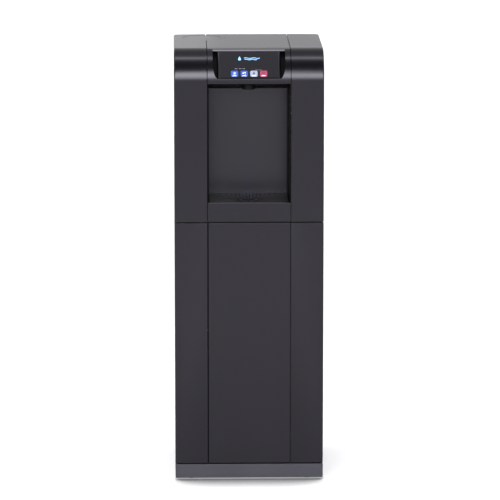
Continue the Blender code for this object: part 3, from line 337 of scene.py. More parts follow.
def make_materials():
    """Every finish. The casing is near black, and its gloss leans slightly to violet."""
    sheen = {"Specular_Tint": (0.93, 0.90, 1.0, 1.0)}
    key = {"grain": 0.000004, "Coat_Weight": 0.3}
    moulded("casing", (0.0036, 0.0033, 0.0048), 0.22, Specular_IOR_Level=0.42, **sheen)
    moulded(
        "plinth", (0.026, 0.025, 0.034), 0.38, grain=0.00002, grain_scale=800, Specular_IOR_Level=0.42
    )
    moulded("alcove", (0.0040, 0.0038, 0.0050), 0.24, grain=0.000008, **sheen)
    moulded("tray", (0.0022, 0.0022, 0.0028), 0.40, grain=0.00001, Specular_IOR_Level=0.15)
    moulded("blue_key", (0.030, 0.085, 0.40), 0.22, **key)
    moulded("pale_key", (0.30, 0.34, 0.44), 0.22, **key)
    moulded("red_key", (0.34, 0.040, 0.095), 0.22, **key)
    circuit_board("circuit_board")
    lamp_lens("lens")
    sheet_metal("sheet_steel", (0.50, 0.51, 0.52), 0.42, spangle=0.22)
    sheet_metal("bright_steel", (0.66, 0.66, 0.67), 0.24)
    painted_steel("black_steel", (0.016, 0.016, 0.018), 0.42)
    copper("copper")
    film(
        "foot_rubber", (0.017, 0.017, 0.017), 0.78, (55.0, 5.0, 0.7, 2.0), (120.0, 3.0, 0.70, 0.86),
        (1500.0, 3.0, 0.00003), Sheen_Weight=0.10,
    )
    foam("foam")
    moulded("white_plastic", (0.74, 0.75, 0.74), 0.42, drift=(0.93, 1.03))
    film(
        "tubing", (0.62, 0.70, 0.80), 0.35, (60.0, 3.0, 0.85, 1.10), (300.0, 2.0, 0.28, 0.42),
        (1300.0, 1.0, 0.00001), Subsurface_Weight=0.25, Coat_Weight=0.4,
    )
    painted_steel("gas_cylinder", (0.27, 0.285, 0.31), 0.36)
    moulded("black_plastic", (0.0040, 0.0040, 0.0045), 0.42, grain=0.00002)
    # Painted shade, partly: matt black plastic made darker and almost glossless, so the parts in the alcove
    # and the recess read as the shade there.
    moulded("shaded_matt_black", (0.0018, 0.0018, 0.0022), 0.50, grain=0.00002, Specular_IOR_Level=0.09)
    # Painted shade: a near-black with almost no gloss, for the strips that darken the seams.
    moulded("seam_shade_black", (0.0030, 0.0030, 0.0034), 0.85, grain=0.00003, Specular_IOR_Level=0.08)
    printed("ink_white", (0.55, 0.62, 0.78), 0.18)
    printed("ink_blue", (0.24, 0.55, 0.95), 0.45)
    printed("ink_grey", (0.30, 0.30, 0.32))
    printed("ink_dark", (0.03, 0.035, 0.06))
    printed("ink_yellow", (0.75, 0.74, 0.36), 0.2)


# ---- Mesh helpers ----


def span(side, first, second):
    """Two distances from the middle, on one side of it, lowest first."""
    return sorted((side * first, side * second))


def add_box(bm, x, y, z):
    size = [high - low for low, high in (x, y, z)]
    centre = [(high + low) / 2 for low, high in (x, y, z)]
    matrix = Matrix.Translation(centre) @ Matrix.Diagonal((*size, 1.0))
    bmesh.ops.create_cube(bm, size=1.0, matrix=matrix)


def box_of(x, y, z):
    bm = bmesh.new()
    add_box(bm, x, y, z)
    return bm


def add_rod(bm, start, end, radius, segments):
    start, end = Vector(start), Vector(end)
    turn = (end - start).to_track_quat("Z", "Y").to_matrix().to_4x4()
    matrix = Matrix.Translation((start + end) / 2) @ turn
    bmesh.ops.create_cone(
        bm, cap_ends=True, segments=segments, radius1=radius, radius2=radius,
        depth=(end - start).length, matrix=matrix,
    )


def upright(x, y, low, high, radius, segments):
    bm = bmesh.new()
    add_rod(bm, (x, y, low), (x, y, high), radius, segments)
    return bm


def place(axis, a, b, along):
    return {"X": (along, a, b), "Y": (a, along, b), "Z": (a, b, along)}[axis]


def add_prism(bm, outline, axis, low, high):
    face = bm.faces.new([bm.verts.new(place(axis, a, b, low)) for a, b in outline])
    shift(bm, bmesh.ops.extrude_face_region(bm, geom=[face]), place(axis, 0, 0, high - low))
    bmesh.ops.recalc_face_normals(bm, faces=bm.faces)


def shift(bm, extruded, way):
    moved = [item for item in extruded["geom"] if isinstance(item, bmesh.types.BMVert)]
    bmesh.ops.translate(bm, verts=moved, vec=Vector(way))


def prism_of(outline, axis, low, high):
    bm = bmesh.new()
    add_prism(bm, outline, axis, low, high)
    return bm


def arc(centre, radius, start, end, steps):
    angles = [radians(start + (end - start) * i / steps) for i in range(steps + 1)]
    return [(centre[0] + radius * cos(a), centre[1] + radius * sin(a)) for a in angles]


def turns(count):
    return [2 * pi * i / count for i in range(count)]


def round_edges(bm, edges, radius, segments):
    bmesh.ops.bevel(bm, geom=edges, offset=radius, segments=segments, affect="EDGES", profile=0.5)


def round_along(bm, direction, radius, segments, test=lambda point: True):
    """Rounds the edges parallel to a direction whose two ends pass a test."""
    found = []
    for item in bm.edges:
        first, second = (v.co for v in item.verts)
        along = (first - second).normalized().cross(Vector(direction)).length < 1e-3
        if along and test(first) and test(second):
            found.append(item)
    round_edges(bm, found, radius, segments)


def mesh_of(bm, name="mesh"):
    made = bpy.data.meshes.new(name)
    bmesh.ops.recalc_face_normals(bm, faces=bm.faces)
    bm.to_mesh(made)
    bm.free()
    return made


def bmesh_of(mesh):
    bm = bmesh.new()
    bm.from_mesh(mesh)
    return bm


def evaluated(obj):
    """An object's mesh with its modifiers applied; the object is removed."""
    bpy.context.view_layer.update()
    graph = bpy.context.evaluated_depsgraph_get()
    made = bpy.data.meshes.new_from_object(obj.evaluated_get(graph), depsgraph=graph)
    bpy.data.objects.remove(obj, do_unlink=True)
    return made


def loose_object(data, name="work"):
    made = bpy.data.objects.new(name, data)
    bpy.context.scene.collection.objects.link(made)
    return made


def modified(obj, kind, **settings):
    made = obj.modifiers.new(kind.lower(), kind)
    for name, value in settings.items():
        setattr(made, name, value)


def combined(bm, operation, tools):
    """A bmesh with others cut out of it or joined to it, in order."""
    body = loose_object(mesh_of(bm))
    helpers = [loose_object(mesh_of(tool)) for tool in tools]
    for helper in helpers:
        modified(body, "BOOLEAN", object=helper, operation=operation, solver="EXACT")
    mesh = evaluated(body)
    for helper in helpers:
        bpy.data.objects.remove(helper, do_unlink=True)
    return bmesh_of(mesh)


def cut(bm, *tools):
    return combined(bm, "DIFFERENCE", tools)


def join(bm, *tools):
    return combined(bm, "UNION", tools)


def softened(mesh, width, segments, angle):
    """Joins flat faces, rounds the sharp edges a little and shades the result smooth.

    Nothing is let outside the CAD box, which a rounded mitre can pass by a hair.
    """
    angle = radians(angle)
    body = loose_object(mesh)
    modified(body, "WELD", merge_threshold=0.00001)
    modified(body, "DECIMATE", decimate_type="DISSOLVE", angle_limit=radians(0.5))
    if width:
        modified(
            body, "BEVEL", width=width, segments=segments, limit_method="ANGLE", angle_limit=angle,
            miter_outer="MITER_ARC",
        )
    made = evaluated(body)
    made.shade_smooth()
    made.set_sharp_from_angle(angle=angle)
    body = loose_object(made)
    modified(body, "WEIGHTED_NORMAL", mode="FACE_AREA", keep_sharp=True)
    made = evaluated(body)
    for vertex in made.vertices:
        vertex.co = [min(max(at, low), high) for at, low, high in zip(vertex.co, *CAD_BOX)]
    return made


def finished(name, bm, material, width, segments, angle):
    made = loose_object(softened(mesh_of(bm, name), width, segments, angle), name)
    made.data.materials.clear()
    made.data.materials.append(MATERIALS[material])
    return made


def piece(name, bm, material, node, width=SOFT_EDGE, segments=2, angle=32):
    """A finished piece that stands for a CAD node. Its place is in its mesh."""
    made = finished(name, bm, material, width, segments, angle)
    made.data.name = name
    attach(made, BODY_OF[node])
    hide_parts(node)


def extra(name, bm, material, body="cabinet", width=HAIR, angle=32):
    """A piece that CAD leaves to the looks, such as a screw or a printed mark."""
    made = finished(name, bm, material, width, 2, angle)
    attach(made, body)


def refined(node, material, width=0.0004, segments=2, angle=32):
    """The CAD node's own shape, with joined faces, rounded edges and smooth shading."""
    bm = bmesh_of(frame["nodes"][node].data)
    bmesh.ops.remove_doubles(bm, verts=bm.verts, dist=0.00001)
    piece(node + "_finished", bm, material, node, width, segments, angle)


def corner_curve(before, corner, after, before_cut, after_cut, steps):
    """Points round a corner, between its two cuts."""
    enter = corner + (before - corner).normalized() * before_cut
    leave = corner + (after - corner).normalized() * after_cut
    shares = [step / steps for step in range(steps + 1)]
    return [enter * (1 - t) ** 2 + corner * 2 * t * (1 - t) + leave * t * t for t in shares]


def rounded_profile(profile, radius, ring):
    """A turned profile with its corners rounded, except its ends on the axis."""
    count = len(profile)
    points = [Vector(point) for point in profile]
    made = []
    for i, corner in enumerate(points):
        if not ring and i in (0, count - 1):
            made.append(corner)
            continue
        before, after = points[i - 1], points[(i + 1) % count]
        reach = min(radius, (before - corner).length * 0.45, (after - corner).length * 0.45)
        made += corner_curve(before, corner, after, reach, reach, 4)
    return made


def turned(profile, at, radius, segments, ring=False):
    """A bmesh of a (radius, height) profile turned about an upright axis through a point."""
    bm = bmesh.new()
    verts = [bm.verts.new((r, 0.0, z)) for r, z in rounded_profile(profile, radius, ring)]
    count = len(verts)
    pairs = [(verts[i], verts[(i + 1) % count]) for i in range(count if ring else count - 1)]
    geom = verts + [bm.edges.new(pair) for pair in pairs]
    bmesh.ops.spin(bm, geom=geom, cent=(0, 0, 0), axis=UP, angle=2 * pi, steps=segments)
    bmesh.ops.remove_doubles(bm, verts=bm.verts, dist=0.000005)
    bmesh.ops.translate(bm, verts=bm.verts, vec=Vector((at[0], at[1], 0.0)))
    bmesh.ops.recalc_face_normals(bm, faces=bm.faces)
    return bm


def smooth_route(points, radius, steps=8):
    """A route of straight runs with rounded corners."""
    points = [Vector(point) for point in points]
    route = [points[0]]
    for before, corner, after in zip(points, points[1:], points[2:]):
        route += corner_curve(before, corner, after, radius, radius, steps)
    return route + [points[-1]]


def tube(name, route, radius, material, node=None):
    """A round tube along a route, as a mesh."""
    curve = bpy.data.curves.new(name, "CURVE")
    curve.dimensions = "3D"
    curve.bevel_depth = radius
    curve.bevel_resolution = 4
    curve.use_fill_caps = True
    spline = curve.splines.new("POLY")
    spline.points.add(len(route) - 1)
    for point, position in zip(spline.points, route):
        point.co = (*position, 1.0)
    bm = bmesh_of(evaluated(loose_object(curve)))
    bmesh.ops.remove_doubles(bm, verts=bm.verts, dist=0.000005)
    if node:
        piece(name, bm, material, node, 0.0, angle=40)
    else:
        extra(name, bm, material, width=0.0, angle=40)


# ---- Casing ----


def shoulder(offset=0.0, depth=None, steps=40):
    """(y, z) points down the shoulder, from the top or from a depth short of it."""
    radius = SHOULDER - offset
    run = 0.0 if depth is None else SHOULDER - depth
    return arc((FRONT + SHOULDER, TOP - SHOULDER), radius, 90 + degrees(asin(run / radius)), 180, steps)


def cheek(inset, bottom):
    """The side view of an upper panel, moved inwards."""
    back = BACK - inset
    return [(FRONT + inset, bottom), (back, bottom), (back, TOP - inset)] + shoulder(inset)


def outer_edges(bm, side):
    """Edges between a panel's outer side and its front, shoulder or top."""
    found = []
    for item in bm.edges:
        outer = [face for face in item.link_faces if face.normal.x * side > 0.05]
        others = [face for face in item.link_faces if face.normal.x * side <= 0.05]
        if len(outer) == 1 and (others[0].normal.z > 0.05 or others[0].normal.y < -0.05):
            found.append(item)
    return found


def near(value, target):
    return abs(value - target) < 0.00001


def cap_hole():
    return upright(FILTER.x, FILTER.y, TOP - 0.014, TOP + BEYOND, CAP_RADIUS + 0.0005, 96)


def upper_panel(name, node, side):
    """Column, shoulder, top and side wall, moulded in one."""
    bm = prism_of(cheek(0.0, UPPER_BOTTOM), "X", *span(side, STRIP, SIDE))
    round_along(bm, UP, REAR_CORNER, 10, lambda p: near(p.x, side * SIDE) and near(p.y, BACK))
    bm.normal_update()
    round_edges(bm, outer_edges(bm, side), PANEL_EDGE, 8)
    under, inner, past = UPPER_BOTTOM - BEYOND, side * (SIDE - WALL), STRIP - BEYOND
    hollow = prism_of(cheek(WALL, under), "X", *span(side, STRIP + WALL, SIDE - WALL))
    at_rear = lambda p: near(p.x, inner) and near(p.y, BACK - WALL)
    round_along(hollow, UP, REAR_CORNER - WALL, 8, at_rear)
    column = prism_of(cheek(FLANGE, under), "X", *span(side, past, STRIP + 2 * WALL))
    depth = (BACK - 1.5 * FLANGE, BACK + BEYOND)
    rear_cut = box_of(span(side, past, SIDE - 1.5 * FLANGE), depth, (under, TOP - FLANGE))
    holes = [cap_hole()] if side < 0 else []
    piece(name, cut(bm, hollow, column, rear_cut, *holes), "casing", node)


def ribbon(path, axis, low, high, thickness, outward):
    """A sheet bent along a path. Its face furthest in one direction is turned outward,
    and the sheet is thickened behind it, or before it if the thickness is negative."""
    bm = bmesh.new()
    points = [bm.verts.new(place(axis, a, b, low)) for a, b in path]
    edges = [bm.edges.new(pair) for pair in zip(points, points[1:])]
    shift(bm, bmesh.ops.extrude_edge_only(bm, edges=edges), place(axis, 0, 0, high - low))
    mesh = mesh_of(bm)
    extreme = max(mesh.polygons, key=lambda face: face.center.dot(Vector(outward)))
    if extreme.normal.dot(Vector(outward)) < 0:
        mesh.flip_normals()
    body = loose_object(mesh)
    modified(
        body, "SOLIDIFY", thickness=abs(thickness), offset=-1.0 if thickness > 0 else 1.0,
        use_even_offset=True, use_quality_normals=True,
    )
    return bmesh_of(evaluated(body))


def lower_panel(name, node, side):
    """A column, a side wall, a door jamb and a rear flange, bent from one sheet."""
    crisp = 0.0007
    path = [(STRIP, FRONT + 2 * FLANGE)]
    path += arc((STRIP + crisp, FRONT + crisp), crisp, 180, 270, 3)
    path += arc((SIDE - PANEL_EDGE, FRONT + PANEL_EDGE), PANEL_EDGE, -90, 0, 8)
    path += arc((SIDE - REAR_CORNER, BACK - REAR_CORNER), REAR_CORNER, 0, 90, 10)
    path += [(SIDE - 1.5 * FLANGE, BACK)]
    path = [(side * x, y) for x, y in path]
    bm = ribbon(path, "Z", CABINET_BOTTOM, CABINET_TOP, WALL, (side, 0, 0))
    piece(name, bm, "casing", node, width=0.0006)


def seam_shade_strips_and_beads():
    """Near-black strips along the deck's edge and above the plinth, painted shade that darkens those seams,
    and a bead down each edge of the door. The bead beside the hinge is set back, out of the door's way."""
    clear = 0.0004
    low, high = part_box("mid_deck")
    end = SIDE - 0.0044
    # Painted shade: near-black, almost glossless strips stand in for the shade in the seams under the deck
    # and above the plinth.
    gap_shade = box_of((-end, end), (low.y - HAIR - 0.0008, low.y - HAIR), (low.z + 0.0001, high.z - 0.0001))
    extra("deck_gap_shade", gap_shade, "seam_shade_black")
    end = SIDE - 0.0050
    level = (edge("base_plinth", HIGH, "z") + clear, CABINET_BOTTOM - clear)
    gap_shade = box_of((-end, end), (FRONT + 0.0006, FRONT + 0.0021), level)
    extra("plinth_gap_shade", gap_shade, "seam_shade_black", width=0.0003)
    for side, name in SIDES:
        depth = (FRONT + (0.0045 if side < 0 else 0.0009), FRONT + 0.0065)
        level = (CABINET_BOTTOM + clear, CABINET_TOP - clear)
        bead = box_of(span(side, MIDDLE + HAIR, STRIP - HAIR), depth, level)
        extra(f"jamb_bead_{name}", bead, "casing", width=0.0003)


CRISP = 0.0010  # the radius where the front's skins turn inwards


def lower_fascia():
    depth = FRONT + 0.0055
    path = [(depth, FASCIA_TOP)] + arc((FRONT + CRISP, FASCIA_TOP - CRISP), CRISP, 90, 180, 4)
    path += arc((FRONT + CRISP, UPPER_BOTTOM + CRISP), CRISP, 180, 270, 4) + [(depth, UPPER_BOTTOM)]
    piece("tray_fascia", ribbon(path, "X", -MIDDLE, MIDDLE, WALL, FORWARD), "casing", "lower_fascia")


def front_bezel():
    """The strip under the controls and the arm at each side of them."""
    path = shoulder(depth=LIP_FRONT - FRONT - 0.0015)
    path += arc((FRONT + CRISP, BEZEL_BOTTOM + CRISP), CRISP, 180, 270, 4)
    path += [(FRONT + 0.0035, BEZEL_BOTTOM)]
    bm = ribbon(path, "X", -MIDDLE, MIDDLE, WALL, FORWARD)
    width, height = RECESS_CORNER
    outline = [(RECESS_HALF, TOP + BEYOND)] + [
        (RECESS_HALF - width * (1 - across), RECESS_BOTTOM + height * (1 + up))
        for across, up in arc((0, 0), 1.0, 0, -90, 24)
    ]
    outline += [(-x, z) for x, z in reversed(outline)]
    opening = prism_of(outline, "Y", FRONT - BEYOND, FRONT + SHOULDER)
    piece("control_bezel", cut(bm, opening), "casing", "front_bezel")


def top_cover():
    """The middle of the top. Its front edge rolls over the controls, and a dimple beside the cap
    takes the tool that lifts it."""
    roll, lean, sunk = 0.0016, 13, 0.0018
    outline = [(LIP_FRONT, LIP_UNDER), (BACK, LIP_UNDER), (BACK, TOP), (FRONT + SHOULDER, TOP)]
    outline += arc((LIP_FRONT + 0.0025, TOP - sunk - roll), roll, 90, 180 - lean, 10)
    bm = prism_of(outline, "X", -MIDDLE, MIDDLE)
    skirt = (LIP_FRONT + 0.006, BACK - WALL)
    hollow = box_of((WALL - MIDDLE, MIDDLE - WALL), skirt, (LIP_UNDER - BEYOND, TOP - WALL - sunk))
    dimple = upright(*DIMPLE, TOP - 0.0010, TOP + 0.005, 0.0029, 40)
    piece("top_lid", cut(bm, hollow, cap_hole(), dimple), "casing", "top_cover", width=0.0004)


def service_door():
    """A tray-shaped door. Its hinge edge is rounded about the pins."""
    inset, free, skin = 0.0045, 0.002, 0.0022
    hinge = (-MIDDLE + inset, FRONT + inset)
    back = edge("service_door", HIGH, "y")
    outline = [(-MIDDLE, back)] + arc(hinge, inset, 180, 270, 12)
    outline += arc((MIDDLE - free, FRONT + free), free, -90, 0, 6) + [(MIDDLE, back)]
    bm = prism_of(outline, "Z", CABINET_BOTTOM, CABINET_TOP)
    height = (CABINET_BOTTOM + skin, CABINET_TOP - skin)
    hollow = box_of((skin - MIDDLE, MIDDLE - skin), (FRONT + skin, back + BEYOND), height)
    holes = bmesh.new()
    for z in (CABINET_BOTTOM, CABINET_TOP):
        add_rod(holes, (*hinge, z - BEYOND), (*hinge, z + BEYOND), 0.00185, 24)
    piece("door_skin", cut(bm, hollow, holes), "casing", "service_door", width=0.0006)
    door_ribs(skin, height)


def door_ribs(skin, height):
    """Moulded stiffening ribs inside the door, with a round boss at each crossing."""
    deep = (FRONT + skin - HAIR, FRONT + 0.0115)
    half, rows, columns = 0.0007, 7, 2
    across = (skin - MIDDLE - HAIR, MIDDLE - skin + HAIR)
    pitch = (height[1] - height[0]) / rows
    levels = [height[0] + pitch * i for i in range(1, rows)]
    offsets = [MIDDLE * (2 * i / (columns + 1) - 1) for i in range(1, columns + 1)]
    ribs = [box_of(across, deep, (z - half, z + half)) for z in levels]
    ribs += [box_of((x - half, x + half), deep, (height[0] - HAIR, height[1] + HAIR)) for x in offsets]
    for z in levels:
        for x in offsets:
            boss = bmesh.new()
            add_rod(boss, (x, deep[0], z), (x, deep[1], z), 0.0032, 24)
            ribs.append(boss)
    extra("door_ribs", join(*ribs), "casing", "service_door")


def base_plinth():
    low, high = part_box("base_plinth")
    bm = box_of((-SIDE, SIDE), (FRONT, BACK), (low.z, high.z))
    round_along(bm, UP, PANEL_EDGE, 8, lambda p: near(p.y, FRONT))
    round_along(bm, UP, REAR_CORNER, 10, lambda p: near(p.y, BACK))
    hollow = box_of((FLANGE - SIDE, SIDE - FLANGE), (FRONT + FLANGE, BACK - FLANGE), (-BEYOND, 0.1))
    piece("plinth_ring", cut(bm, hollow), "plinth", "base_plinth", width=0.0012, segments=3)


def filter_cap():
    """The round cap over the filter, and the collar that it drops into."""
    high = edge("filter_cap", HIGH, "z")
    under = TOP - WALL - 0.0005
    ring, inner, deep = 0.0435, 0.0415, under - 0.009
    profile = [(0.0, high), (CAP_RADIUS, high), (CAP_RADIUS, under), (ring, under), (ring, deep)]
    profile += [(inner, deep), (inner, under), (0.0, under)]
    piece("filter_lid", turned(profile, FILTER, 0.0024, 96), "casing", "filter_cap", 0.0)
    low, seat = (edge("cap_collar", end, "z") for end in (LOW, HIGH))
    flange, outer, rim, bore = low + 0.0025, CAP_RADIUS + HAIR, 0.0555, 0.0440
    profile = [(outer, seat), (outer, flange), (rim, flange), (rim, low), (bore, low), (bore, seat)]
    bm = turned(profile, FILTER, 0.0004, 96, ring=True)
    piece("lid_collar", bm, "casing", "cap_collar", 0.0)


# ---- Controls ----


def leant(bm):
    """Takes a bmesh from the pod's own directions (across, up its face, out of it) to its place."""
    bmesh.ops.transform(bm, matrix=POD, verts=bm.verts)
    return bm


def tile(size, x, corner, low, high, crown=0.0):
    """A square block with round corners at a key's place, with an optional crowned face."""
    half = size / 2
    bm = box_of((x - half, x + half), (KEY_UP - half, KEY_UP + half), (low, high))
    round_along(bm, UP, corner, 10)
    if crown:
        face = max(bm.faces, key=lambda item: item.calc_center_median().z)
        for share in (0.08, 0.10):
            bmesh.ops.inset_region(bm, faces=[face], thickness=size * share)
        bmesh.ops.translate(bm, verts=face.verts, vec=(0, 0, -crown))
    return leant(bm)


def control_pod():
    """The leaning control face, with its windows for the keys."""
    bm = box_of((-POD_HALF, POD_HALF), (0.0, POD_LENGTH), (-POD_THICK, 0.0))
    round_along(bm, BACKWARD, POD_ROUNDING, 14, lambda p: near(p.z, 0.0))
    round_along(bm, ACROSS, 0.0009, 4, lambda p: near(p.z, 0.0) and near(p.y, 0.0))
    inside = POD_HALF - 0.0045
    pocket = box_of((-inside, inside), (0.0020, POD_LENGTH - WALL), (-POD_THICK - BEYOND, -WALL))
    windows = [tile(KEY_SIZE + 0.0006, x, 0.0043, -0.006, 0.004) for x in KEY_XS]
    bm = cut(leant(bm), leant(pocket), *windows)
    piece("control_face", bm, "casing", "control_pod", width=0.00025)


def control_keys():
    """Four lit keys. Each has a rounded face, a pale foot and a plain symbol."""
    finishes = ("blue_key", "blue_key", "pale_key", "red_key")
    symbols = (snow_symbol, bubble_symbol, drop_symbol, steam_symbol)
    half = 0.010
    for node, finish, x, symbol in zip(KEYS, finishes, KEY_XS, symbols):
        back = box_of((x - half, x + half), (KEY_UP - half, KEY_UP + half), (-0.0055, -WALL - 0.0008))
        cap = tile(KEY_SIZE, x, 0.0040, -0.0045, KEY_PROUD, crown=0.00025)
        piece(node + "_button", join(cap, leant(back)), finish, node, width=0.0003)
        lit_foot(node, x)
        symbol(node, Vector((x, KEY_UP + 0.0012)))


def marks(name, outlines, ink, body, low, high):
    """Flat marks from (x, y) outlines in the pod's directions."""
    bm = bmesh.new()
    for outline in outlines:
        add_prism(bm, outline, "Z", low, high)
    extra(name, leant(bm), ink, body, width=0.0)


def print_on_key(label, node, outlines, ink):
    marks(f"{node}_{label}", outlines, ink, node, KEY_PROUD - 0.00035, KEY_PROUD)


def print_on_face(name, outlines, ink):
    marks(name, outlines, ink, "cabinet", -HAIR, 0.00015)


def bar(centre, angle, length, thick):
    """A round-ended bar's outline."""
    turn = Matrix.Rotation(angle, 2)
    half, r = (length - thick) / 2, thick / 2
    ends = arc((half, 0), r, -90, 90, 6) + arc((-half, 0), r, 90, 270, 6)
    return [centre + turn @ Vector(point) for point in ends]


def disc(centre, radius, steps=20):
    return [centre + Vector(point) for point in arc((0, 0), radius, 0, 360 - 360 / steps, steps - 1)]


def drop(centre, size):
    """A drop's outline: a round belly and a point at the top."""
    belly = [centre + Vector(point) * size for point in arc((0, -0.25), 0.5, 30, -210, 20)]
    return belly + [centre + Vector((0, 0.95)) * size]


def lit_foot(node, x):
    """The pale window along the bottom of each key."""
    half, low, high = KEY_SIZE * 0.33, KEY_UP - KEY_SIZE * 0.42, KEY_UP - KEY_SIZE * 0.24
    outline = [(x - half, low), (x + half, low), (x + half, low + 0.0012)]
    outline += [(x + half * 0.35, high), (x - half * 0.35, high), (x - half, low + 0.0012)]
    print_on_key("foot", node, [outline], "ink_white")


def snow_symbol(node, centre):
    for index, angle in enumerate((30, 90, 150)):
        outline = bar(centre, radians(angle), 0.0096, 0.0013)
        print_on_key(f"symbol_{index + 1}", node, [outline], "ink_white")


def bubble_symbol(node, centre):
    spots = ((-0.0026, 0.0002, 0.0021), (0.0021, 0.0026, 0.0017), (0.0027, -0.0020, 0.0012))
    outlines = [disc(centre + Vector((x, y)), radius) for x, y, radius in spots]
    print_on_key("symbol", node, outlines, "ink_yellow")


def drop_symbol(node, centre):
    print_on_key("symbol", node, [drop(centre, 0.0052)], "ink_dark")


def steam_symbol(node, centre):
    outlines = []
    half = 0.0006
    for offset in (-0.0030, 0.0, 0.0030):
        curve = [(offset + 0.0008 * sin(3.6 * t), 0.0042 * t) for t in (-1, -0.6, -0.2, 0.2, 0.6, 1)]
        left = [centre + Vector((x - half, y)) for x, y in curve]
        right = [centre + Vector((x + half, y)) for x, y in reversed(curve)]
        outlines.append(right[::-1] + left[::-1])
    print_on_key("symbol", node, outlines, "ink_dark")


def control_prints():
    """A plain drop-and-ripples mark, and short dashes over the keys."""
    up, steps, half = 0.0585, 28, 0.0009
    print_on_face("face_drop_mark", [drop(Vector((-0.0235, up)), 0.0075)], "ink_blue")
    ripples = []
    for start, length, level in ((-0.0125, 0.040, up + 0.0016), (-0.0105, 0.031, up - 0.0026)):
        shares = [i / steps for i in range(steps + 1)]
        wave = [(start + length * t, level + 0.0011 * sin(4 * pi * t)) for t in shares]
        ripples.append([(x, y - half) for x, y in wave] + [(x, y + half) for x, y in reversed(wave)])
    print_on_face("face_ripple_marks", ripples, "ink_blue")
    over = KEY_UP + KEY_SIZE / 2
    starts = (0.004, 0.014, 0.023)
    dashes = [bar(Vector((KEY_XS[0] + dx, over + 0.0062)), 0, 0.0070, 0.0010) for dx in starts]
    dashes.append(bar(Vector(((KEY_XS[2] + KEY_XS[3]) / 2, over + 0.0022)), 0, 0.0170, 0.0007))
    print_on_face("face_dash_marks", dashes, "ink_grey")


def control_recess():
    """The dark tub behind the bezel's opening."""
    floor = -POD_THICK - 0.0003

    def at(up, out):
        point = POD @ Vector((0.0, up, out))
        return point.y, point.z

    shelf, half = edge("control_recess", HIGH, "z"), edge("control_recess", HIGH, "x")
    low, high = at(-0.004, floor - WALL), at(0.088, floor - WALL)
    skin = shoulder(offset=WALL + 0.0003, depth=0.0504, steps=30)
    outline = [low, high, (high[0], shelf)]
    outline += [point for point in skin if RECESS_BOTTOM - 0.003 < point[1] < shelf]
    corners = [at(-0.001, floor), at(0.2, floor), at(0.2, 0.1), at(-0.001, 0.1)]
    bm = cut(prism_of(outline, "X", -half, half), prism_of(corners, "X", WALL - half, half - WALL))
    piece("control_tub", bm, "shaded_matt_black", "control_recess", width=0.0003)


# ---- Alcove ----


def node_block(node):
    return box_of(*zip(*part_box(node)))


def alcove():
    """The flat backsplash with a dark strip of painted shade at each side, the shell and the sloping
    ceiling.
    """
    low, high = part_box("alcove_backsplash")
    bm = node_block("alcove_backsplash")
    round_along(bm, BACKWARD, 0.0015, 4)
    piece("splash_back", bm, "alcove", "alcove_backsplash", width=0.0004)
    # Painted shade: matt black strips down the backsplash's sides stand in for the shade in the alcove's
    # back corners.
    for side, name in SIDES:
        x = span(side, high.x - 0.0035, high.x - HAIR)
        strip = box_of(x, (low.y - 0.0008, low.y - 0.0001), (GRILLE_TOP + 0.001, high.z - 0.0005))
        extra(f"splash_side_shade_{name}", strip, "shaded_matt_black")
    low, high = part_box("alcove_shell")
    wall, turn, front = 0.0018, 0.0012, low.y
    inner, back = high.x - wall, high.y - wall
    path = [(-inner, front)] + arc((turn - inner, back - turn), turn, 180, 90, 4)
    path += arc((inner - turn, back - turn), turn, 90, 0, 4) + [(inner, front)]
    bm = ribbon(path, "Z", low.z, high.z, -wall, BACKWARD)
    piece("alcove_walls", bm, "shaded_matt_black", "alcove_shell", width=0.0003)
    refined("alcove_ceiling", "shaded_matt_black", 0.0003)


def nozzle():
    """The shroud through the ceiling and the two spouts inside it."""
    at = middle("nozzle_shroud")
    low, high = (end.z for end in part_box("nozzle_shroud"))
    radius, rim, bore, flange = 0.0175, 0.0215, 0.0150, high - 0.002
    profile = [(0.0, high), (rim, high), (rim, flange), (radius, flange), (radius, low)]
    profile += [(bore, low), (bore, flange), (0.0, flange)]
    holes = bmesh.new()
    for x in (-0.0065, 0.0065):
        add_rod(holes, (x, at.y, 1.02), (x, at.y, 1.04), 0.0045, 32)
    body = turned(profile, (0, at.y), 0.0010, 72)
    piece("spout_shroud", cut(body, holes), "shaded_matt_black", "nozzle_shroud", 0.0)
    for node in ("cold_nozzle", "hot_nozzle"):
        low, high = (end.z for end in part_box(node))
        profile = [(0.0041, high), (0.0041, low), (0.0026, low), (0.0026, high)]
        bm = turned(profile, middle(node), 0.0004, 32, ring=True)
        piece(node + "_pipe", bm, "bright_steel", node, 0.0)


def drip_grille():
    """A plate with an oval drain and curved slots that fan out from it to the rim."""
    low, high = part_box("drip_grille")
    drain_y = middle("nozzle_shroud").y
    through = (low.z - BEYOND, high.z + BEYOND)
    border = 0.005
    along = (drain_y - low.y - border, high.y - drain_y - border)
    bm = node_block("drip_grille")
    round_along(bm, UP, 0.003, 6)
    slots = bmesh.new()
    for index in range(GRILLE_SLOTS):
        slot = slot_outline(2 * pi * (index + 0.5) / GRILLE_SLOTS, high.x - 0.0055, along)
        add_prism(slots, [(x, drain_y + y) for x, y in slot], "Z", *through)
    ring = [(DRAIN[0] * cos(a), drain_y + DRAIN[1] * sin(a)) for a in turns(48)]
    piece("drip_plate", cut(bm, slots, prism_of(ring, "Z", *through)), "tray", "drip_grille", width=HAIR)


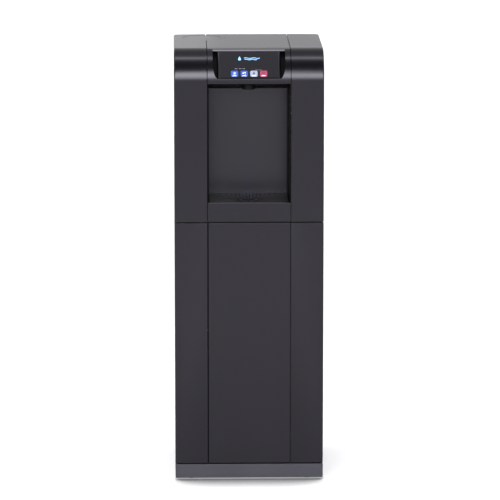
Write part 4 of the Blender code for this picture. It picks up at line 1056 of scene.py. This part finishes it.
def slot_outline(start, across, along):
    """A slot that leaves the drain's rim and bends round as it nears the plate's edge."""
    half, steps, twist = 0.00095, 10, 0.30
    line = []
    inner = Vector((0.0235 * cos(start), 0.0155 * sin(start)))
    for i in range(steps + 1):
        share = i / steps
        angle = start + twist * cos(start) * share * share
        rows = along[1] if sin(angle) > 0 else along[0]
        reach = min(across / max(abs(cos(angle)), 1e-6), rows / max(abs(sin(angle)), 1e-6))
        outer = Vector((cos(angle), sin(angle))) * reach
        line.append(inner.lerp(outer, share))
    left, right = [], []
    for i, point in enumerate(line):
        before, after = line[max(i - 1, 0)], line[min(i + 1, steps)]
        side = (after - before).normalized().orthogonal() * half
        left.append(point + side)
        right.append(point - side)
    return right + left[::-1]


def lamp():
    """A dark bezel round a lit lens that shows from below only."""
    low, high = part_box("alcove_light")
    rim, lit = 0.0012, low.z + 0.0006

    def inset(gap, z):
        return box_of((low.x + gap, high.x - gap), (low.y + gap, high.y - gap), z)

    bezel = cut(node_block("alcove_light"), inset(rim, (low.z - BEYOND, lit)))
    piece("lamp_bezel", bezel, "shaded_matt_black", "alcove_light", HAIR)
    lens = inset(rim + HAIR, (low.z + HAIR, lit - 0.0001))
    round_along(lens, UP, 0.0012, 4)
    piece("lamp_lens", lens, "lens", "alcove_light", 0.0001)


# ---- Base and rear ----


def feet():
    """Levelling feet: a threaded stem in a round rubber pad."""
    stem, root, thread, pitch = 0.0040, 0.0034, 0.0090, 0.0020
    pad, groove = 0.016, 0.0152
    for node in sorted(name for name in frame["nodes"] if name.startswith("foot_")):
        low, high = (end.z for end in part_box(node))
        profile = [(0.0, high), (stem, high)]
        for i in range(int((high - thread) / pitch), 0, -1):
            base = thread + pitch * (i - 1)
            profile += [(stem, base + pitch * 0.75), (root, base + pitch * 0.25)]
        profile += [(stem, thread), (0.010, 0.0085), (pad, 0.0050), (pad, 0.0022), (groove, 0.0018)]
        profile += [(groove, 0.0012), (pad, 0.0010), (0.015, low), (0.0, low)]
        piece(node + "_pad", turned(profile, middle(node), 0.0003, 48), "foot_rubber", node, 0.0)


def rear():
    """The rear sheet with raised louvres, its screws, the condenser and the connections."""
    refined("rear_panel", "black_steel", 0.0002)
    for row in range(6):
        for side, name in SIDES:
            louvre(f"louvre_{name}_{row + 1}", side, 0.84 + 0.022 * row)
    screws()
    condenser()
    refined("switch_plate", "black_plastic")
    refined("power_inlet", "black_plastic", 0.0003)
    refined("inlet_fitting", "white_plastic", segments=3)
    for node in ("heater_switch", "cooler_switch"):
        refined(node, "black_plastic", segments=3)
        rocker_mark(node)


def louvre(name, side, z):
    """A pressed hood over one of the rear sheet's slots."""
    rise, reach = 0.0085, 0.0030
    path = [(REAR_FACE + 0.0001, z + rise)]
    for a in map(radians, (20, 40, 60, 80)):
        path.append((REAR_FACE + reach * sin(a), z + rise - (rise + 0.001) * (1 - cos(a))))
    bm = ribbon(path, "X", *span(side, 0.0295, 0.1405), 0.0006, BACKWARD)
    extra(name, bm, "black_steel", width=0.0)


def add_screw(bm, at, outward, radius=0.0034):
    """A pan-head screw with a cross recess."""
    deep, long, thin = radius * 0.28, radius * 0.5, radius * 0.10
    profile = [(0.0, radius * 0.62), (radius * 0.55, radius * 0.55), (radius * 0.9, deep)]
    profile += [(radius, 0.0), (0.0, 0.0)]
    slots = [box_of((-a, a), (-b, b), (deep, radius)) for a, b in ((long, thin), (thin, long))]
    head = cut(turned(profile, (0, 0), radius * 0.12, 32), *slots)
    turn = Vector(outward).to_track_quat("Z", "Y").to_matrix().to_4x4()
    bmesh.ops.transform(head, matrix=Matrix.Translation(at) @ turn, verts=head.verts)
    mesh = mesh_of(head)
    bm.from_mesh(mesh)
    bpy.data.meshes.remove(mesh)


def screw_set(name, places, outward, radius):
    bm = bmesh.new()
    for at in places:
        add_screw(bm, at, outward, radius)
    extra(name, bm, "bright_steel", width=0.0)


def screws():
    """Cross-head screws round the rear sheet and in the corners of the switch plate."""
    x = edge("rear_panel", HIGH, "x") - 0.0245
    rows = (0.075, 0.30, 0.50, 0.80, 1.02)
    places = [(side * x, REAR_FACE, z) for side in (-1, 1) for z in rows]
    screw_set("rear_screws", places, BACKWARD, 0.0034)
    at, face = middle("switch_plate"), edge("switch_plate", HIGH, "y")
    corners = [(dx, dz) for dx in (-0.035, 0.035) for dz in (-0.055, 0.055)]
    screw_set("plate_screws", [(at.x + dx, face, at.z + dz) for dx, dz in corners], BACKWARD, 0.0024)


def rocker_mark(node):
    """A plain line, moulded on the rocker, for on."""
    at, face = middle(node), edge(node, HIGH, "y")
    x, z = (at.x - 0.0004, at.x + 0.0004), (at.z + 0.0046, at.z + 0.0068)
    extra(node + "_mark", box_of(x, (face - 0.0012, face - 0.0001), z), "ink_white", node, width=0.0)


def condenser():
    """The serpentine tube, the wires across it on both faces and the posts that hold it."""
    low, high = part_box("condenser_coil")
    radius, bend = 0.0025, 0.006
    inside, back, top = low.y, high.y - radius, high.z - radius
    head = [(-COIL_HALF, inside, top), (-COIL_HALF, back, top), (0.0, back, top)]
    route = smooth_route(head, bend)[:-1]
    for index in range(COIL_PASSES - 1):
        side = 1 if index % 2 == 0 else -1
        centre = (side * (COIL_HALF - 0.010), top - COIL_PITCH * (index + 0.5))
        turn = arc(centre, COIL_PITCH / 2, 90, 90 - 180 * side, 16)
        route += [(x, back, z) for x, z in turn]
    bottom = top - COIL_PITCH * (COIL_PASSES - 1)
    tail = [(0.0, back, bottom), (COIL_HALF, back, bottom), (COIL_HALF, inside, bottom)]
    route += smooth_route(tail, bend)[1:]
    tube("condenser_tube", route, radius, "black_steel", "condenser_coil")
    low, high = (end.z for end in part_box("condenser_wires"))
    wire, reach, half, bite = 0.0008, 0.104, 0.004, 0.0004
    near_y, far_y = back - radius - 0.0003 - wire, back + radius + 0.0003 + wire
    rack = bmesh.new()
    for index in range(9):
        x = 0.026 * index - reach
        for y in (near_y, far_y):
            add_rod(rack, (x, y, low), (x, y, high), wire, 12)
    across, deep = (-0.107, 0.107), (near_y - bite, far_y + bite)
    parts = [box_of(across, deep, (z - 0.0013, z + 0.0013)) for z in (low + 0.0025, high - 0.0025)]
    deep = (REAR_FACE + 0.0003, near_y + bite)
    for x in (-reach, reach):
        for z in (bottom + 0.024, top - 0.024):
            parts.append(box_of((x - half, x + half), deep, (z - half, z + half)))
    piece("condenser_rack", join(rack, *parts), "black_steel", "condenser_wires", width=0.0)


# ---- Inside ----


def inside():
    """Everything behind the door and the panels."""
    for node, material, width in (
        ("inner_frame", "sheet_steel", 0.0005), ("base_pan", "sheet_steel", 0.0003),
        ("mid_deck", "black_steel", 0.0003), ("door_lower_pin", "black_steel", 0.0003),
        ("door_upper_pin", "bright_steel", 0.0003), ("control_board", "circuit_board", 0.0002),
    ):
        refined(node, material, width)
    for node, width in (("filter_head", 0.0010), ("valve_block", 0.0008), ("power_board_box", 0.0010)):
        refined(node, "white_plastic", width, segments=3)
    refined("hot_tank", "bright_steel", 0.0006, angle=40)
    for node in ("discharge_line", "suction_line", "evaporator_coil"):
        refined(node, "copper", 0.0, angle=70)
    refined("supply_tube", "tubing", 0.0, angle=70)
    compressor()
    cold_side()
    gas_bottle()
    filter_set()
    small_tubes()
    door_seal()
    valve_details()


def compressor():
    """A welded hermetic shell on four rubber mounts, with its terminal cover."""
    low, y = edge("compressor", LOW, "z"), middle("compressor").y
    body = [(0.0, 0.195), (0.030, 0.191), (0.052, 0.178), (0.062, 0.155), (0.063, 0.130)]
    body += [(0.0655, 0.129), (0.0655, 0.124), (0.063, 0.123), (0.060, 0.095), (0.050, 0.077)]
    body += [(0.030, 0.069), (0.0, 0.067)]
    base = box_of((-0.085, 0.085), (y - 0.045, y + 0.045), (0.0650, 0.0680))
    round_along(base, UP, 0.012, 6)
    cover = box_of((0.050, 0.078), (y - 0.022, y + 0.022), (0.105, 0.150))
    round_along(cover, UP, 0.004, 4, lambda p: p.x > 0.07)
    leg, waist = 0.0080, 0.0062
    mount = [(0.0, 0.0660), (leg, 0.0660), (leg, 0.0600), (waist, 0.0570), (waist, 0.0520)]
    mount += [(leg, 0.0490), (leg, low), (0.0, low)]
    places = [(x, y + dy) for x in (-0.072, 0.072) for dy in (-0.034, 0.034)]
    mounts = [turned(mount, at, 0.0008, 28) for at in places]
    shell = join(turned(body, (0.0, y), 0.006, 72), base, cover, *mounts)
    piece("compressor_shell", shell, "black_steel", "compressor", width=0.0004)
    stubs = bmesh.new()
    for x, dy in ((-0.030, 0.0), (0.030, 0.0), (0.0, 0.034)):
        add_rod(stubs, (x, y + dy, 0.1820), (x, y + dy, 0.1995), 0.0036, 24)
    extra("compressor_stubs", stubs, "copper", width=0.0003)


def cold_side():
    """The cold tank, its foam jacket and the dryer."""
    at = middle("cold_tank")
    profile = [(0.0, 0.886), (0.040, 0.885), (0.054, 0.876), (0.055, 0.868), (0.055, 0.722)]
    profile += [(0.054, 0.714), (0.040, 0.705), (0.0, 0.704)]
    piece("cold_vessel", turned(profile, at, 0.003, 72), "bright_steel", "cold_tank", 0.0)
    outer, inner, rim, floor, under = 0.0740, 0.0635, 0.890, 0.7030, 0.6770
    profile = [(outer, rim), (outer, under), (0.0, under), (0.0, floor), (inner, floor), (inner, rim)]
    bm = turned(profile, at, 0.002, 72, ring=True)
    piece("foam_jacket", bm, "foam", "cold_tank_insulation", 0.0)
    pipe, shell = 0.003, 0.009
    profile = [(0.0, 0.330), (pipe, 0.330), (pipe, 0.322), (shell, 0.312), (shell, 0.252)]
    profile += [(pipe, 0.242), (pipe, 0.234), (0.0, 0.234)]
    bm = turned(profile, middle("filter_dryer"), 0.002, 40)
    piece("dryer_body", bm, "copper", "filter_dryer", 0.0)


def gas_bottle():
    """The gas cylinder with its valve, and the handwheel."""
    at = middle("co2_handwheel")
    profile = [(0.0, 0.404), (0.006, 0.404), (0.006, 0.392), (0.011, 0.391), (0.011, 0.366)]
    profile += [(0.014, 0.360), (0.024, 0.345), (0.030, 0.325), (0.030, 0.052), (0.026, 0.0430)]
    profile += [(0.0, 0.0430)]
    outlet = bmesh.new()
    add_rod(outlet, (at.x, at.y, 0.380), (at.x + 0.028, at.y, 0.380), 0.006, 6)
    bm = join(turned(profile, at, 0.005, 72), outlet)
    piece("gas_bottle", bm, "gas_cylinder", "co2_cylinder", width=0.0005)
    low, high = (end.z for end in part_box("co2_handwheel"))
    rim = 0.018
    wheel = turned([(0.0, high), (0.015, high), (rim, high - 0.003), (rim, low), (0.0, low)], at, 0.0012, 96)
    scallops = [
        upright(at.x + 0.0215 * cos(a), at.y + 0.0215 * sin(a), low - BEYOND, high + BEYOND, 0.0055, 32)
        for a in turns(6)
    ]
    piece("gas_handwheel", cut(wheel, *scallops), "black_plastic", "co2_handwheel", 0.0007, segments=3)


def filter_set():
    """The cartridge, with its T grip and a plain neck."""
    at = middle("filter_cartridge")
    body, neck = 0.036, 0.0284
    profile = [(0.0, 1.0600), (0.030, 1.0600), (body, 1.0500), (body, 0.7400), (0.032, 0.7310)]
    profile += [(neck, 0.7310), (neck, 0.7080), (0.0, 0.7080)]
    grip = box_of((at.x - 0.028, at.x + 0.028), (at.y - 0.006, at.y + 0.006), (1.0500, 1.0850))
    round_along(grip, BACKWARD, 0.008, 6, lambda p: p.z > 1.08)
    bm = join(turned(profile, at, 0.003, 72), grip)
    piece("cartridge_body", bm, "white_plastic", "filter_cartridge", width=0.0008)


def small_tubes():
    """Thin tubes and leads between the blocks, which CAD leaves out. All lie in the lower cabinet."""
    valve_y, port = middle("valve_block").y, 0.481
    gas, outlet = middle("co2_handwheel"), 0.380
    route = [(gas.x + 0.028, gas.y, outlet), (gas.x + 0.050, gas.y, outlet), (-0.060, -0.085, 0.470)]
    route += [(0.060, -0.085, 0.520), (0.105, valve_y, port), (0.120, valve_y, port)]
    tube("gas_tube", smooth_route(route, 0.014), 0.0020, "tubing")
    x, y = 0.1805, -0.110
    route = [(0.174, y, port), (x, y, port), (x, y, 0.56), (x, -0.06, 0.668)]
    tube("valve_tube", smooth_route(route, 0.004), 0.0018, "tubing")
    y = middle("compressor").y
    dryer, stub = middle("filter_dryer"), y + 0.034
    route = [(dryer.x, dryer.y, 0.234), (dryer.x, dryer.y, 0.222), (0.095, 0.118, 0.215)]
    route += [(0.0, stub, 0.235), (0.0, stub, 0.1995)]
    tube("capillary_tube", smooth_route(route, 0.006), 0.0011, "copper")
    harness = [(0.078, y - 0.010, 0.128), (0.092, y - 0.020, 0.128), (0.110, -0.020, 0.150)]
    harness += [(0.140, -0.045, 0.180), (middle("power_board_box").x, -0.0600, 0.180)]
    for index, rise in enumerate((-0.004, 0.0, 0.004)):
        route = smooth_route([(a, b, c + rise) for a, b, c in harness], 0.010)
        tube(f"compressor_lead_{index + 1}", route, 0.0012, "black_plastic")


def door_seal():
    """A foam strip round the back of the door."""
    back = edge("service_door", HIGH, "y") + 0.0004
    low, high = CABINET_BOTTOM + 0.010, CABINET_TOP - 0.010
    outer, thick = MIDDLE - 0.010, 0.004
    deep = (back, back + 0.004)
    levels = ((high - thick, high), (low, low + thick))
    strips = [box_of((-outer, outer), deep, level) for level in levels]
    strips += [box_of(span(side, outer, outer - thick), deep, (low, high)) for side in (-1, 1)]
    extra("door_seal", join(*strips), "foot_rubber", "service_door", width=0.0008)


def valve_details():
    """Screws on the valves, and slats on the power box."""
    top = edge("valve_block", HIGH, "z")
    screw_set("valve_screws", [(0.147, y, top) for y in (-0.116, -0.095, -0.074)], UP, 0.0030)
    low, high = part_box("power_board_box")
    across, deep = (low.x + 0.010, high.x - 0.010), (low.y - 0.0012, low.y + HAIR)
    slats = bmesh.new()
    for row in range(7):
        z = low.z + 0.020 + 0.012 * row
        add_box(slats, across, deep, (z, z + 0.005))
    extra("power_box_slats", slats, "white_plastic", width=0.0004)


# ---- Studio ----


def studio_world():
    """White walls low down, a dark ceiling in front, a strip light and a large light overhead."""
    world = bpy.data.worlds.new("studio")
    bpy.context.scene.world = world
    world.use_nodes = True
    nodes = Nodes(world.node_tree)
    nodes.tree.nodes.clear()
    axes = nodes.node("SeparateXYZ", i0=nodes.node("TexCoord").outputs["Generated"]).outputs
    forward = nodes.math("MULTIPLY", axes["Y"], -1.0)
    rise = nodes.math("MULTIPLY", nodes.math("ARCTAN2", axes["Z"], forward), 1 / pi)
    ramp = nodes.shades(rise, *((angle / 180, (level, level, level * 1.03)) for angle, level in STUDIO))
    sideways = nodes.math("POWER", nodes.math("ABSOLUTE", axes["X"], 0.0), 3.0)
    side = (SIDE_LEVEL, SIDE_LEVEL, SIDE_LEVEL, 1.0)
    walls = nodes.node("Mix", {"data_type": "RGBA"}, i0=sideways, i6=ramp, i7=side)
    leaning = nodes.math("ADD", nodes.math("MULTIPLY", axes["X"], -LEFT_BIAS), 1.0)
    lit = nodes.node("Background", Color=walls.outputs[2], Strength=leaning).outputs[0]
    plain = nodes.node("Background", Color=SEEN_WORLD, Strength=1.0).outputs[0]
    seen = nodes.node("LightPath").outputs["Is Camera Ray"]
    nodes.node("OutputWorld", Surface=nodes.node("MixShader", i0=seen, i1=lit, i2=plain).outputs[0])


def studio_floor():
    """A pale floor. Camera rays see it a little brighter, with a painted soft shadow along the front foot.
    """
    bm = bmesh.new()
    bmesh.ops.create_grid(bm, x_segments=8, y_segments=8, size=60.0)
    mesh = mesh_of(bm, "studio_floor")
    if mesh.polygons[0].normal.z < 0:
        mesh.flip_normals()
    floor = loose_object(mesh, "studio_floor")
    finish = Finish(
        "studio_floor", (FLOOR_TONE,) * 3, 0.9, Specular_IOR_Level=0.0, Emission_Color=(1.0,) * 4
    )
    seen = finish.node("LightPath").outputs["Is Camera Ray"]
    # Painted shadow: near the body, ambient occlusion darkens the floor's colour and glow for camera rays,
    # in front of the body only.
    nearby = finish.node("AmbientOcclusion", {"samples": 16}, Distance=SHADOW_REACH).outputs["AO"]
    axes = finish.node("SeparateXYZ", i0=finish.place).outputs
    behind = finish.spread(axes["Y"], 0.0, 1.0, start=FRONT, end=FRONT + 0.030)
    from_middle = finish.math("ABSOLUTE", axes["X"])
    beside = finish.spread(from_middle, 0.0, 1.0, start=SIDE - 0.012, end=SIDE + 0.006)
    clear = finish.math("MAXIMUM", behind, beside)
    shade = finish.math("MAXIMUM", finish.spread(nearby, SHADOW_DEPTH, 1.0, start=0.50, end=0.90), clear)
    finish.set("Base Color", finish.blend(seen, FLOOR_TONE, finish.math("MULTIPLY", shade, FLOOR_SEEN)))
    glow = finish.math("MULTIPLY", shade, FLOOR_SEEN_GLOW)
    finish.set("Emission Strength", finish.blend(seen, FLOOR_GLOW, glow))
    mesh.materials.append(finish.material)


def aimed(made, at, target):
    made.location = at
    made.rotation_euler = (Vector(target) - Vector(at)).to_track_quat("-Z", "Y").to_euler()
    return made


def add_light(name, kind, at, target, power, **settings):
    data = bpy.data.lights.new(name, kind)
    data.energy = power
    for setting, value in settings.items():
        setattr(data, setting, value)
    return aimed(loose_object(data, name), at, target)


def add_area(name, at, target, size, power):
    lamp = add_light(name, "AREA", at, target, power, shape="RECTANGLE", size=size[0], size_y=size[1])
    lamp.visible_camera = False


def alcove_glow():
    """The alcove's own blue lamp, which lights the back of the grille."""
    at = middle("alcove_light")
    at.z = edge("alcove_light", LOW, "z") - 0.002
    add_light(
        "alcove_lamp", "SPOT", at, (at.x, SPLASH_FACE - 0.006, GRILLE_TOP), 25.0,
        color=LAMP_BLUE, spot_size=radians(9), spot_blend=0.8, shadow_soft_size=0.004,
    )


def camera():
    """A long lens, a little left of the middle, looking down at the front."""
    data = bpy.data.cameras.new("camera")
    data.sensor_width = SENSOR
    data.lens = LENS
    data.clip_end = 200.0
    x, y = sin(CAMERA_TURN) * CAMERA_DISTANCE, -cos(CAMERA_TURN) * CAMERA_DISTANCE
    target = (AIM_X, 0.0, CAMERA_HEIGHT - CAMERA_DISTANCE * tan(CAMERA_PITCH))
    made = aimed(loose_object(data, "camera"), (x, y, CAMERA_HEIGHT), target)
    bpy.context.scene.camera = made


def build():
    camera()
    studio_world()
    studio_floor()
    alcove_glow()
    add_area("left_wash", (-1.1, -2.8, 1.3), (-0.3, -2.4, 0.0), (0.5, 3.4), 34.0)
    add_area("back_panel", (-1.15, 3.0, 1.6), (-0.9, 0.0, 1.1), (2.2, 1.2), 1.3)
    add_area("front_wash", (-0.2, -5.0, 2.4), (-0.2, -4.8, 0.0), (2.4, 1.6), 30.0)
    bpy.context.scene.view_settings.view_transform = "Standard"
    for make, level in ((upper_panel, "upper"), (lower_panel, "lower")):
        for side, name in SIDES:
            make(f"{level}_{name}_shell", f"{level}_{name}_panel", side)
    seam_shade_strips_and_beads()
    lower_fascia()
    front_bezel()
    top_cover()
    service_door()
    base_plinth()
    filter_cap()
    control_pod()
    control_keys()
    control_prints()
    control_recess()
    alcove()
    nozzle()
    refined("drip_tray", "shaded_matt_black", 0.0003)
    refined("tray_seat", "tray", 0.0004)
    drip_grille()
    lamp()
    feet()
    rear()
    inside()


make_materials()
build()
